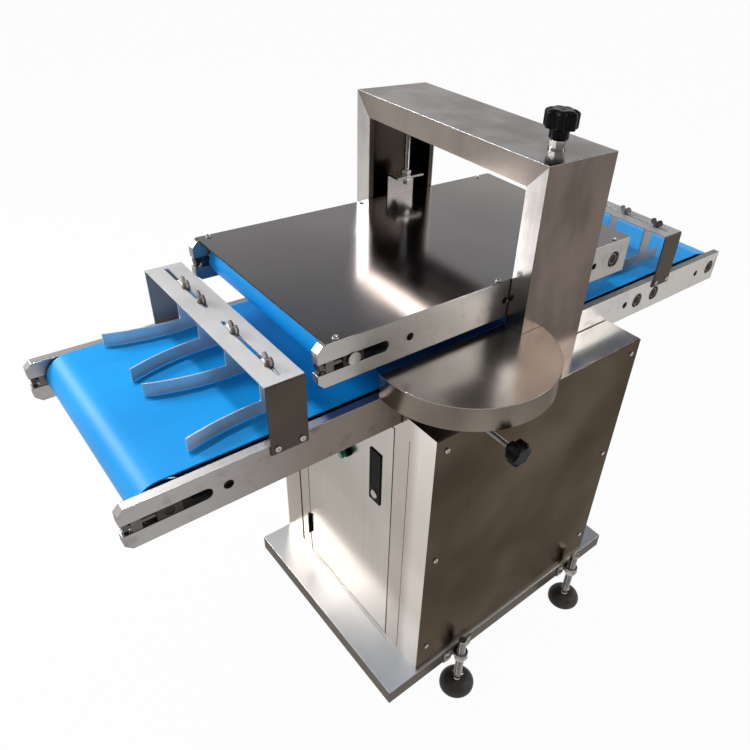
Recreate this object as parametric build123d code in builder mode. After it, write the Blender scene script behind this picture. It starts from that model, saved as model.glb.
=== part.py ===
from build123d import *
import os

os.makedirs("parts", exist_ok=True)

# Two-belt bun slicer on a cabinet. Millimetres, floor at Z 0, X 0 in the middle of the belts.
# +Y is the way the buns travel, and +X is the operator's side, where the disc knife stands.

# Clearances
running_gap = 0.05      # shaft in its bearing, radial
push_gap = 0.05         # spigot or bearing in its seat, radial
face_gap = 0.3          # rolling or sliding faces that must not touch
sheet_gap = 2.0         # seam between two sheet panels

# Lower conveyor
rail_length = 1500.0
rail_height = 75.0
rail_sink = 20.0        # rail bottom below the cabinet's shoulders
rail_thick = 16.0
rail_bevel = 10.0
belt_width = 376.0
belt_side_gap = 5.0
belt_thick = 2.5
belt_rise = 4.5         # belt top above the rail top
tail_reach = 66.0       # tail roller from the infeed end
tail_radius = 39.5      # inside of the belt
head_reach = 31.0       # drive roller from the outfeed end
head_radius = 27.0
head_rise = 1.5         # drive roller's axis above the tail roller's
return_reach = 276.0    # rear return roller from the outfeed end
return_pitch = 67.0
return_radius = 27.0
return_drop = 3.5       # return rollers pressed down on the returning belt
slot_height = 20.0
slot_length = 128.0
bar_radius = 10.0
bar_spigot_radius = 8.0
bar_spigot_length = 10.0
bar_inset = 152.0       # first cross bar from the infeed end
bar_pitch = 319.0
bar_count = 4
last_bar_inset = 93.0   # last cross bar from the outfeed end
bed_thick = 4.0
bed_slack = 0.1         # bed below the belt that slides on it
bed_side_gap = 8.0      # bed edge inside the belt edge
bed_web = 3.0
bed_end_inset = 78.0    # end of the bed from the outfeed end
nose_radius = 4.0

# Rollers, bearings and belt take-ups
journal_radius = 10.0
tail_journal_radius = 7.0
end_disc_radius = 11.0
end_disc_thick = 2.0
drum_side_gap = 2.0     # drum end inside the belt edge
drum_bevel = 1.0
bearing_radius = 18.0
bearing_inset = 2.0     # bearing face behind the rail face
block_length = 36.0
block_side_gap = 1.0
anchor_inset = 14.0
anchor_length = 14.0
take_up_radius = 5.0
take_up_head_flats = 16.0
take_up_head_length = 7.0
take_up_head_inset = 3.0

# Upper conveyor
bun_gap = 62.0          # between the two belts at the lowest setting
upper_front = -446.0
upper_length = 749.0
upper_height = 74.0
upper_side_gap = 5.0
upper_thick = 16.0
upper_belt_extra = 8.0  # upper belt wider than the lower one
upper_roll_radius = 34.5
upper_tail_reach = 63.0
upper_head_reach = 43.0
upper_belt_drop = 2.5   # belt below the plates
upper_slot_length = 129.0
upper_bar_radius = 9.0
upper_spigot_radius = 7.0
upper_bar_inset = 171.0
upper_bar_end_inset = 107.0
upper_bar_share = 0.46  # middle bar's place between the outer two
cover_thick = 2.0
cover_setback = 14.0
cover_screw_inset = 22.0
cover_screw_end_inset = 43.0
cover_screw_rows = 3

# Arch and lift
arch_side_gap = 2.0     # leg beside the upper conveyor
arch_front = -50.0
arch_depth = 175.0
arch_height = 411.0     # above the cabinet's shoulders
arch_leg = 41.0
arch_beam = 44.0
arch_sheet = 2.5
arch_lip = 12.0
arch_foot = 4.0
notch_gap = 0.5         # leg above the knife guard
lift_travel = 40.0
lift_inset = 19.0       # lift rods inside the arch's legs
lift_y = 34.0
lift_rod_radius = 6.0
rod_end_gap = 6.0       # lifted rod below the top of the arch
rod_tail = 8.0          # rod below its lower nut
rod_nut_flats = 19.0
rod_nut_height = 10.0
bracket_width = 70.0
bracket_thick = 4.0
bracket_reach = 38.0
bracket_overlap = 58.0
bracket_rise = 49.0     # bracket above the side plate
shelf_thick = 4.0
shelf_length = 46.0
neck_radius = 11.0
neck_length = 26.0
nut_hub_radius = 16.0
nut_hub_height = 28.0
sprocket_radius = 26.0
sprocket_thick = 5.0
sprocket_rise = 8.0
chain_thick = 4.0
stem_radius = 8.0
knob_rise = 16.0        # knob hub above the arch
knob_washer_radius = 15.0
knob_washer_thick = 3.0
knob_nut_flats = 24.0
knob_nut_height = 11.0
knob_hub_radius = 17.0
knob_hub_height = 18.0
knob_radius = 30.0
knob_height = 30.0
knob_core_radius = 24.0
knob_lobe_radius = 8.4
knob_wall = 18.0        # straight part of the knob's side
knob_lobes = 7

# Disc knife, guard and drive
knife_reach = 22.0      # knife's axis beside the rail
knife_y = -164.0
knife_radius = 158.0
knife_thick = 2.0
knife_bevel = 7.0
knife_land = 0.4        # flat left at the sharpened edge
cut_height = 25.0       # knife above the lower belt
guard_radius = 170.0
guard_height = 46.0
guard_rise = 6.0        # guard above the rail top
guard_side_gap = 2.0    # guard's straight side beside the rail
guard_sheet = 2.0
spindle_radius = 10.0
spindle_flange_radius = 30.0
spindle_flange_thick = 6.0
spindle_nut_flats = 30.0
spindle_nut_height = 11.0
housing_inside = 15.0   # housing block from the spindle to the rail side
housing_outside = 61.0
housing_front = 66.0
housing_back = 52.0
spindle_pulley_radius = 30.0
pulley_height = 20.0
pulley_drop = 19.0      # pulleys below the rails
motor_y = 70.0
motor_radius = 56.0
motor_height = 198.0
motor_flange = 126.0
motor_flange_thick = 6.0
motor_boss_radius = 34.0
motor_boss_height = 9.0
motor_shaft_radius = 9.5
motor_shaft_depth = 34.0
motor_pulley_radius = 36.0
drive_belt_thick = 3.0
drive_belt_height = 16.0
motor_shelf_thick = 6.0
motor_shelf_drop = 16.0 # shelf below the pulleys
motor_shelf_reach = 81.0
motor_shelf_front = -10.0
clamp_front = 48.0      # clamp rod in front of the spindle
clamp_rise = 27.0       # and above the cabinet's shoulder
clamp_radius = 5.0
clamp_depth = 30.0
clamp_length = 148.0
hand_knob_radius = 22.0
hand_knob_length = 22.0
hand_hub_radius = 12.0
hand_hub_length = 9.0
hand_core_radius = 17.6
hand_lobe_radius = 6.6
hand_knob_bevel = 2.0
hand_knob_lobes = 6

# Cabinet and base
cabinet_left_reach = 30.0   # cabinet outside the left rail
cabinet_right_reach = 93.0  # and outside the right rail
cabinet_front = -279.0
cabinet_back = 296.0
cabinet_height = 675.0
cabinet_sheet = 2.0
rail_side_gap = 2.0     # shoulder beside the rail
rail_ledge = 19.0       # ledge under each rail
trough_depth = 13.0     # below the ledges, for the returning belt
post_slit_inset = 73.0
post_slit = 6.0
housing_slit_inset = 69.0
housing_slit = 1.6
panel_thick = 2.0
panel_frame = 50.0
panel_frame_low = 100.0
panel_screw_inset = 24.0
panel_screw_drop = 29.0
panel_screw_rise = 71.0
door_left_inset = 115.0
door_right_inset = 114.0
door_rise = 8.0         # door above the base
door_drop = 49.0        # door below the cabinet's shoulders
door_depth = 18.0
door_sheet = 2.0
door_gap = 3.0
hinge_low = 94.0        # lower hinge above the door's bottom
hinge_high = 96.0       # upper hinge below the door's top
hinge_height = 60.0
hinge_radius = 3.5
hinge_pin_radius = 1.6
hinge_leaf = 8.5
hinge_leaf_thick = 2.0
lock_inset = 51.0       # lock from the door's right edge
lock_drop = 91.0        # lock below the door's top
lock_width = 35.0
lock_height = 134.0
lock_proud = 2.6
lock_sink = 2.8         # lock case behind the door's face
lock_flange = 2.0       # lock's edge that overlaps the door
lock_rim = 5.0
lock_floor = 1.2
lock_lever_height = 90.0
lever_pin_radius = 1.1
lever_pin_length = 1.6
lock_button_radius = 9.5
lock_button_proud = 2.2
lock_button_rise = 20.0
lock_button_travel = 2.0
lock_button_bevel = 1.0
power_inset = 148.0     # button from the door's right edge
power_drop = 162.0      # button below the door's top
collar_radius = 10.5
collar_proud = 7.0
collar_bevel = 1.0
collar_neck_radius = 9.0
collar_neck_length = 12.0
power_stem_radius = 7.0
power_cap_radius = 8.5
power_cap_length = 9.0
power_travel = 3.5
power_cap_round = 1.5
base_left_inset = 1.0
base_right_reach = 8.0
base_front_reach = 78.0
base_back_reach = 80.0
base_top = 145.0
base_height = 40.0
base_sheet = 3.0

# Levelling feet
foot_front_y = -160.0
foot_back_y = 240.0
foot_reach = 16.0       # stud from the side of the base
foot_plate_width = 84.0
foot_plate_height = 36.0
foot_plate_thick = 4.0
foot_lug_thick = 8.0
foot_lug_drop = 16.0    # lug below the base's top
foot_lug_radius = 16.0
foot_screw_spread = 62.0
foot_screw_pitch = 20.0
stud_radius = 10.0
stud_neck_radius = 8.0
stud_rise = 30.0        # stud above the base's top
stud_nut_flats = 30.0
stud_nut_height = 13.0
stud_hex_flats = 24.0
stud_hex_bottom = 34.0
stud_hex_height = 10.0
ball_radius = 11.0
ball_height = 19.0
pad_radius = 42.0
pad_rim = 6.0
pad_height = 24.0
pad_neck_radius = 17.0
pad_slope = 0.3

# Guide bridges, guide plates and wing bolts
front_bridge_y = -497.5
rear_bridge_y = 485.0
bridge_width = 64.0
bridge_sheet = 3.0
bridge_rise = 107.4     # bridge top above the rail top
bridge_drop = 18.0      # legs below the rail top
bridge_bend = 5.0
bridge_screw_pitch = 42.0
bridge_screw_drop = 8.0
slot_width = 7.0
left_slot_inset = 11.0  # end of the slot from the rail's outside
left_slot_end = -34.0
right_slot_start = 17.0
right_slot_inset = 14.0
guide_sheet = 2.0
guide_height = 24.0
guide_gap = 1.5         # guide above the belt
guide_front_y = -630.0
guide_bend_y = -500.0
guide_back_y = -425.0
front_tab_y = -504.0
front_tab_width = 38.0
rear_guide_front_y = 150.0
rear_guide_back_y = 560.0
rear_tab_y = 480.0
rear_tab_width = 34.0
wing_radius = 3.0
wing_washer_radius = 7.0
wing_washer_thick = 1.5
wing_hub_radius = 5.0
wing_hub_height = 9.0
wing_span = 30.0
wing_leaf_length = 13.5
wing_leaf_height = 14.4
wing_leaf_rise = 1.6
wing_web_length = 15.0
wing_web_height = 5.4
wing_thick = 3.0
weld_nut_radius = 5.5
weld_nut_height = 5.0

# Each guide plate: place across the belt, or from the rail's inside for the outer ones,
# then the flare at the infeed end and the wing bolt beside the plate
outer_left_inset = 40.0
outer_left_flare = -21.0
outer_left_bolt = 38.0
inner_left_x = -75.0
inner_left_flare = 26.0
inner_left_bolt = 20.0
inner_right_x = 24.0
inner_right_flare = -25.5
inner_right_bolt = 34.0
outer_right_inset = 54.0
outer_right_flare = 18.0
outer_right_bolt = 24.0
rear_inner_x = 40.0
rear_inner_bolt = 34.0
rear_outer_inset = 55.0
rear_outer_bolt = 24.0

# Pan-head screws used on the panels, bridges, feet and cover
screw_radius = 2.9
screw_hole_radius = 3.0
screw_length = 8.0
screw_head_radius = 5.5
screw_head_height = 3.2
screw_head_taper = 12.0

# Places worked out from the sizes above
rail_in = belt_width / 2 + belt_side_gap
rail_out = rail_in + rail_thick
rail_front = -rail_length / 2
rail_back = rail_length / 2
cabinet_shoulder = base_top + cabinet_height
rail_bottom = cabinet_shoulder - rail_sink
rail_top = rail_bottom + rail_height
belt_top = rail_top + belt_rise
belt_inside = belt_top - belt_thick
bed_top = belt_inside - bed_slack
tail_y = rail_front + tail_reach
tail_z = belt_inside - tail_radius
head_y = rail_back - head_reach
head_z = tail_z + head_rise
rear_return_y = rail_back - return_reach
front_return_y = rear_return_y - return_pitch
return_z = head_z - head_radius + return_radius - return_drop
bar_z = tail_z
bar_places = [rail_front + bar_inset + bar_pitch * i for i in range(bar_count)]
bar_places = bar_places + [rail_back - last_bar_inset]
bed_half = belt_width / 2 - bed_side_gap
bed_front = tail_y + tail_radius + belt_thick
bed_back = rail_back - bed_end_inset

upper_belt_width = belt_width + upper_belt_extra
upper_inside = upper_belt_width / 2 + upper_side_gap
upper_out = upper_inside + upper_thick
upper_back = upper_front + upper_length
upper_belt_bottom = belt_top + bun_gap
upper_bottom = upper_belt_bottom + upper_belt_drop
upper_top = upper_bottom + upper_height
upper_tail_y = upper_front + upper_tail_reach
upper_head_y = upper_back - upper_head_reach
upper_axis_z = upper_belt_bottom + belt_thick + upper_roll_radius
upper_bar_start = upper_front + upper_bar_inset
upper_bar_end = upper_back - upper_bar_end_inset
upper_bar_mid = upper_bar_start + upper_bar_share * (upper_bar_end - upper_bar_start)
upper_bar_places = (upper_bar_start, upper_bar_mid, upper_bar_end)
cover_front = upper_front + cover_setback
cover_top = upper_top + cover_thick
cover_screw_x = (upper_inside + upper_out) / 2
cover_screw_start = cover_front + cover_screw_inset
cover_screw_end = upper_back - cover_screw_end_inset
cover_screw_pitch = (cover_screw_end - cover_screw_start) / (cover_screw_rows - 1)
cover_screws_y = [cover_screw_start + cover_screw_pitch * i for i in range(cover_screw_rows)]

arch_back = arch_front + arch_depth
arch_top = cabinet_shoulder + arch_height
arch_inside = upper_out + arch_side_gap
arch_half = arch_inside + arch_leg
lift_x = arch_inside - lift_inset
arch_soffit = arch_top - arch_beam
shelf_top = arch_soffit + arch_sheet + shelf_thick
nut_foot = shelf_top + face_gap
sprocket_z = nut_foot + sprocket_rise
knob_foot = arch_top + knob_rise
washer_z = arch_top + face_gap
tab_top = upper_top + bracket_rise
rod_top = arch_top - rod_end_gap - lift_travel
rod_bottom = tab_top - bracket_thick - rod_nut_height - rod_tail

knife_x = rail_out + knife_reach
knife_z = belt_top + cut_height
guard_edge = rail_out + guard_side_gap
guard_bottom = rail_top + guard_rise
guard_top = guard_bottom + guard_height
housing_x0 = knife_x - housing_inside
housing_x1 = knife_x + housing_outside
pulley_top = rail_bottom - pulley_drop
pulley_bottom = pulley_top - pulley_height
motor_shelf_top = pulley_bottom - motor_shelf_drop
motor_top = motor_shelf_top - motor_shelf_thick
motor_shelf_inside = knife_x - motor_shelf_reach
clamp_y = knife_y - clamp_front
clamp_z = cabinet_shoulder + clamp_rise
clamp_start = housing_x1 - clamp_depth
clamp_end = clamp_start + clamp_length

cabinet_left = -rail_out - cabinet_left_reach
cabinet_right = rail_out + cabinet_right_reach
post_slit_x = cabinet_left + post_slit_inset
housing_slit_x = cabinet_right - housing_slit_inset
shoulder_x = rail_out + rail_side_gap
ledge_x = shoulder_x - rail_ledge
trough_top = rail_bottom - trough_depth
panel_out = cabinet_right + panel_thick
panel_screws_y = (cabinet_front + panel_screw_inset, cabinet_back - panel_screw_inset)
panel_low_z = base_top + panel_screw_rise
panel_high_z = cabinet_shoulder - panel_screw_drop
panel_screws_z = (panel_low_z, (panel_low_z + panel_high_z) / 2, panel_high_z)
door_left = cabinet_left + door_left_inset
door_right = cabinet_right - door_right_inset
door_bottom = base_top + door_rise
door_top = cabinet_shoulder - door_drop
hinges_z = (door_bottom + hinge_low, door_top - hinge_high)
hinge_x = door_left - door_gap / 2
hinge_y = cabinet_front - hinge_radius
lock_front = cabinet_front - lock_proud
lock_x = door_right - lock_inset
lock_top = door_top - lock_drop
lock_bottom = lock_top - lock_height
lock_floor_y = cabinet_front + lock_sink - lock_floor
lever_thick = lock_floor_y - lock_front - 2 * face_gap
lever_top = lock_top - lock_rim - face_gap
lever_bottom = lever_top - lock_lever_height
lever_y = lock_floor_y - face_gap - lever_thick / 2
lever_z = lever_top - lever_thick / 2
lever_half = lock_width / 2 - lock_rim - face_gap
pin_half = lever_half + face_gap + lever_pin_length
lock_button_z = lock_bottom + lock_button_rise
power_x = door_right - power_inset
power_z = door_top - power_drop
collar_front = cabinet_front - collar_proud
power_cap_back = collar_front - power_travel - face_gap
base_left = cabinet_left + base_left_inset
base_right = cabinet_right + base_right_reach
base_front = cabinet_front - base_front_reach
base_back = cabinet_back + base_back_reach
base_bottom = base_top - base_height
foot_lug_top = base_top - foot_lug_drop
stud_top = base_top + stud_rise
foot_places = []
for place_y in (foot_front_y, foot_back_y):
    foot_places.append((base_right, 1, place_y))
    foot_places.append((base_left, -1, place_y))
foot_screws_z = [base_bottom + base_height / 2 + foot_screw_pitch * i / 2 for i in (-1, 1)]
bridge_top = rail_top + bridge_rise
bridge_soffit = bridge_top - bridge_sheet
bridge_out = rail_out + bridge_sheet
left_slot_start = -rail_out + left_slot_inset
right_slot_end = rail_out - right_slot_inset
outer_left_x = -rail_in + outer_left_inset
outer_right_x = rail_in - outer_right_inset
rear_outer_x = rail_in - rear_outer_inset
bridge_screw_z = rail_top - bridge_screw_drop
guide_bottom = belt_top + guide_gap
guide_top = guide_bottom + guide_height
flange_top = bridge_soffit - face_gap
side_starts = (rail_in, -rail_out)
upper_starts = (upper_inside, -upper_out)


def keep(piece, name):
    """Label a finished piece and write it as one node."""
    piece.part.label = name
    export_step(piece.part, f"parts/{name}.step")


def block(x0, x1, y0, y1, z0, z1, mode=Mode.ADD):
    """A box between two opposite corners."""
    with Locations(((x0 + x1) / 2, (y0 + y1) / 2, (z0 + z1) / 2)):
        Box(x1 - x0, y1 - y0, z1 - z0, mode=mode)


def round_x(radius, x0, x1, y, z, mode=Mode.ADD):
    """A round bar along X."""
    with Locations(((x0 + x1) / 2, y, z)):
        Cylinder(radius, x1 - x0, rotation=(0, 90, 0), mode=mode)


def round_y(radius, x, y0, y1, z, mode=Mode.ADD):
    """A round bar along Y."""
    with Locations((x, (y0 + y1) / 2, z)):
        Cylinder(radius, y1 - y0, rotation=(90, 0, 0), mode=mode)


def round_z(radius, x, y, z0, z1, mode=Mode.ADD):
    """A round bar along Z."""
    with Locations((x, y, (z0 + z1) / 2)):
        Cylinder(radius, z1 - z0, mode=mode)


def hex_prism(plane, flats, height):
    """A hexagon head or nut standing on a plane."""
    with BuildSketch(plane) as hexagon:
        RegularPolygon(flats / 2, 6, major_radius=False)
    extrude(hexagon.sketch, amount=height, dir=plane.z_dir)


def band(plane, wheels, gap, thick, width):
    """A flat belt or chain round wheels given as place and radius on the plane."""
    for grow, mode in ((gap + thick, Mode.ADD), (gap, Mode.SUBTRACT)):
        with BuildSketch(plane) as loop:
            for across, up, radius in wheels:
                with Locations((across, up)):
                    Circle(radius + grow)
            make_hull()
        extrude(loop.sketch, amount=width, dir=plane.z_dir, mode=mode)


def side_plate(x0, thick, front, back, bottom, top):
    """A conveyor side plate with its two infeed corners bevelled."""
    with BuildSketch(Plane.YZ.offset(x0)) as outline:
        with BuildLine():
            Polyline(
                (front + rail_bevel, bottom),
                (back, bottom),
                (back, top),
                (front + rail_bevel, top),
                (front, top - rail_bevel),
                (front, bottom + rail_bevel),
                close=True,
            )
        make_face()
    extrude(outline.sketch, amount=thick, dir=(1, 0, 0))


def take_up_slot(x0, thick, front, length, z):
    """The slot, open at the infeed end, in which a take-up block slides."""
    with BuildSketch(Plane.YZ.offset(x0)) as slot:
        with Locations((front, z)):
            SlotOverall(2 * length, slot_height)
    extrude(slot.sketch, amount=thick, dir=(1, 0, 0), mode=Mode.SUBTRACT)


def take_up(x0, thick, front, axis_y, axis_z):
    """One belt take-up: slide block, anchor block and its hexagon-head screw."""
    x_low = x0 + block_side_gap
    x_high = x0 + thick - block_side_gap
    x_mid = x0 + thick / 2
    half = slot_height / 2 - push_gap
    block_front = axis_y - block_length / 2
    anchor_front = front + anchor_inset
    block(x_low, x_high, block_front, block_front + block_length, axis_z - half, axis_z + half)
    round_x(tail_journal_radius + running_gap, x0, x0 + thick, axis_y, axis_z, Mode.SUBTRACT)
    anchor_back = anchor_front + anchor_length
    block(x_low, x_high, anchor_front, anchor_back, axis_z - half, axis_z + half)
    round_y(take_up_radius + push_gap, x_mid, anchor_front, anchor_back, axis_z, Mode.SUBTRACT)
    head_front = front + take_up_head_inset
    round_y(take_up_radius, x_mid, head_front, block_front - face_gap, axis_z)
    head_plane = Plane((x_mid, head_front, axis_z), (1, 0, 0), (0, 1, 0))
    hex_prism(head_plane, take_up_head_flats, take_up_head_length)


def roller(name, drum_radius, drum_half, end_radius, journal_half, y, z, disc_start=None):
    """A drum with a journal at each end, and a disc on each journal where a start is given."""
    with BuildPart() as drum:
        round_x(drum_radius, -drum_half, drum_half, y, z)
        chamfer(drum.edges().filter_by(GeomType.CIRCLE), drum_bevel)
        round_x(end_radius, -journal_half, journal_half, y, z)
        if disc_start is not None:
            for side in (-1, 1):
                disc_low, disc_high = sorted((side * disc_start, side * (disc_start + end_disc_thick)))
                round_x(end_disc_radius, disc_low, disc_high, y, z)
    keep(drum, name)


def bearing(x0, thick, y, z):
    """A ball bearing seated in a side plate, as its closed ring."""
    round_x(bearing_radius - push_gap, x0 + bearing_inset, x0 + thick - bearing_inset, y, z)
    round_x(journal_radius + running_gap, x0, x0 + thick, y, z, Mode.SUBTRACT)


def pan_screw(plane):
    """A pan-head screw with its head seated on a plane that faces outwards."""
    with BuildSketch(plane.offset(-screw_length)) as shank:
        Circle(screw_radius)
    extrude(shank.sketch, amount=screw_length, dir=plane.z_dir)
    with BuildSketch(plane) as head:
        Circle(screw_head_radius)
    extrude(head.sketch, amount=screw_head_height, taper=screw_head_taper)


# Lower conveyor: side rails
lower_bearing_places = ((head_y, head_z), (front_return_y, return_z), (rear_return_y, return_z))
for rail_name, rail_x in zip(("lower_rail_right", "lower_rail_left"), side_starts):
    with BuildPart() as lower_rail:
        side_plate(rail_x, rail_thick, rail_front, rail_back, rail_bottom, rail_top)
        take_up_slot(rail_x, rail_thick, rail_front, slot_length, tail_z)
        for hole_y in bar_places:
            round_x(bar_spigot_radius + push_gap, rail_x, rail_x + rail_thick, hole_y, bar_z, Mode.SUBTRACT)
        for hole_y, hole_z in lower_bearing_places:
            round_x(bearing_radius, rail_x, rail_x + rail_thick, hole_y, hole_z, Mode.SUBTRACT)
        for bridge_y in (front_bridge_y, rear_bridge_y):
            for step in (-0.5, 0.5):
                hole_y = bridge_y + step * bridge_screw_pitch
                round_x(screw_hole_radius, rail_x, rail_x + rail_thick, hole_y, bridge_screw_z, Mode.SUBTRACT)
    keep(lower_rail, rail_name)

# Lower conveyor: cross bars, each with a spigot in both rails
with BuildPart() as lower_cross_bars:
    for bar_y in bar_places:
        round_x(bar_radius, -rail_in, rail_in, bar_y, bar_z)
        round_x(bar_spigot_radius, -rail_in - bar_spigot_length, rail_in + bar_spigot_length, bar_y, bar_z)
keep(lower_cross_bars, "lower_cross_bars")

# Lower conveyor: slider bed, a folded channel that stands on the cross bars under the upper run
with BuildPart() as lower_bed:
    block(-bed_half, bed_half, bed_front, bed_back, bar_z + bar_radius, bed_top)
    bed_under = bed_top - bed_thick
    bed_hollow = bed_half - bed_web
    block(-bed_hollow, bed_hollow, bed_front, bed_back, bar_z, bed_under, Mode.SUBTRACT)
    notch_front = front_return_y - return_radius - bed_thick
    notch_back = rear_return_y + return_radius + bed_thick
    block(-bed_half, bed_half, notch_front, notch_back, bar_z, bed_under, Mode.SUBTRACT)
keep(lower_bed, "lower_bed")

# Lower conveyor: belt round the tail roller, the bed nose, the drive roller and the return rollers
lower_wheels = (
    (tail_y, tail_z, tail_radius),
    (bed_back, belt_inside - nose_radius, nose_radius),
    (head_y, head_z, head_radius),
    (front_return_y, return_z, return_radius),
    (rear_return_y, return_z, return_radius),
)
with BuildPart() as lower_belt:
    band(Plane.YZ.offset(-belt_width / 2), lower_wheels, 0.0, belt_thick, belt_width)
keep(lower_belt, "lower_belt")

# Lower conveyor: rollers, their bearings and the tail roller's take-ups
drum_half = belt_width / 2 - drum_side_gap
journal_end = rail_out - bearing_inset
tail_drum_radius = tail_radius - face_gap
head_drum_radius = head_radius - face_gap
return_drum_radius = return_radius - face_gap
roller("lower_tail_roller", tail_drum_radius, drum_half, tail_journal_radius, journal_end, tail_y, tail_z)
roller("lower_drive_roller", head_drum_radius, drum_half, journal_radius, journal_end, head_y, head_z)
for roller_name, roller_y in (("front_return_roller", front_return_y), ("rear_return_roller", rear_return_y)):
    roller(roller_name, return_drum_radius, drum_half, journal_radius, journal_end, roller_y, return_z)

with BuildPart() as lower_bearings:
    for side_x in side_starts:
        for seat_y, seat_z in lower_bearing_places:
            bearing(side_x, rail_thick, seat_y, seat_z)
keep(lower_bearings, "lower_bearings")

with BuildPart() as lower_take_ups:
    for side_x in side_starts:
        take_up(side_x, rail_thick, rail_front, tail_y, tail_z)
keep(lower_take_ups, "lower_take_ups")

# Upper conveyor: side plates
for plate_name, plate_x in zip(("upper_plate_right", "upper_plate_left"), upper_starts):
    with BuildPart() as upper_plate:
        side_plate(plate_x, upper_thick, upper_front, upper_back, upper_bottom, upper_top)
        take_up_slot(plate_x, upper_thick, upper_front, upper_slot_length, upper_axis_z)
        for hole_y in upper_bar_places:
            hole_radius = upper_spigot_radius + push_gap
            round_x(hole_radius, plate_x, plate_x + upper_thick, hole_y, upper_axis_z, Mode.SUBTRACT)
        round_x(bearing_radius, plate_x, plate_x + upper_thick, upper_head_y, upper_axis_z, Mode.SUBTRACT)
        for hole_y in cover_screws_y:
            hole_x = plate_x + upper_thick / 2
            round_z(screw_hole_radius, hole_x, hole_y, upper_top - screw_length, upper_top, Mode.SUBTRACT)
    keep(upper_plate, plate_name)

with BuildPart() as upper_cross_bars:
    for bar_y in upper_bar_places:
        round_x(upper_bar_radius, -upper_inside, upper_inside, bar_y, upper_axis_z)
        spigot_end = upper_inside + bar_spigot_length
        round_x(upper_spigot_radius, -spigot_end, spigot_end, bar_y, upper_axis_z)
keep(upper_cross_bars, "upper_cross_bars")

# Upper conveyor: pressure bed, a folded channel that hangs under the cross bars
upper_bed_half = upper_belt_width / 2 - bed_side_gap
upper_bed_bottom = upper_belt_bottom + belt_thick + bed_slack
upper_bed_front = upper_tail_y + upper_roll_radius + belt_thick
upper_bed_back = upper_head_y - upper_roll_radius - belt_thick
with BuildPart() as upper_bed:
    bed_web_top = upper_axis_z - upper_bar_radius
    block(-upper_bed_half, upper_bed_half, upper_bed_front, upper_bed_back, upper_bed_bottom, bed_web_top)
    block(
        -upper_bed_half + bed_web,
        upper_bed_half - bed_web,
        upper_bed_front,
        upper_bed_back,
        upper_bed_bottom + bed_thick,
        bed_web_top,
        Mode.SUBTRACT,
    )
keep(upper_bed, "upper_bed")

upper_wheels = (
    (upper_tail_y, upper_axis_z, upper_roll_radius),
    (upper_head_y, upper_axis_z, upper_roll_radius),
)
with BuildPart() as upper_belt:
    band(Plane.YZ.offset(-upper_belt_width / 2), upper_wheels, 0.0, belt_thick, upper_belt_width)
keep(upper_belt, "upper_belt")

upper_drum_half = upper_belt_width / 2 - drum_side_gap
upper_journal_end = upper_out - bearing_inset
upper_drum_radius = upper_roll_radius - face_gap
disc_x = upper_out + face_gap
roller(
    "upper_tail_roller",
    upper_drum_radius,
    upper_drum_half,
    tail_journal_radius,
    disc_x,
    upper_tail_y,
    upper_axis_z,
    disc_x,
)
roller(
    "upper_drive_roller",
    upper_drum_radius,
    upper_drum_half,
    journal_radius,
    upper_journal_end,
    upper_head_y,
    upper_axis_z,
)

with BuildPart() as upper_bearings:
    for side_x in upper_starts:
        bearing(side_x, upper_thick, upper_head_y, upper_axis_z)
keep(upper_bearings, "upper_bearings")

with BuildPart() as upper_take_ups:
    for side_x in upper_starts:
        take_up(side_x, upper_thick, upper_front, upper_tail_y, upper_axis_z)
keep(upper_take_ups, "upper_take_ups")

# Upper conveyor: cover sheet and its screws
with BuildPart() as upper_cover:
    block(-upper_out, upper_out, cover_front, upper_back, upper_top, cover_top)
    for screw_side in (-1, 1):
        for screw_y in cover_screws_y:
            screw_x = screw_side * cover_screw_x
            round_z(screw_hole_radius, screw_x, screw_y, upper_top, cover_top, Mode.SUBTRACT)
keep(upper_cover, "upper_cover")

with BuildPart() as cover_screws:
    for screw_side in (-1, 1):
        for screw_y in cover_screws_y:
            pan_screw(Plane((screw_side * cover_screw_x, screw_y, cover_top)))
keep(cover_screws, "cover_screws")

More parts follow.
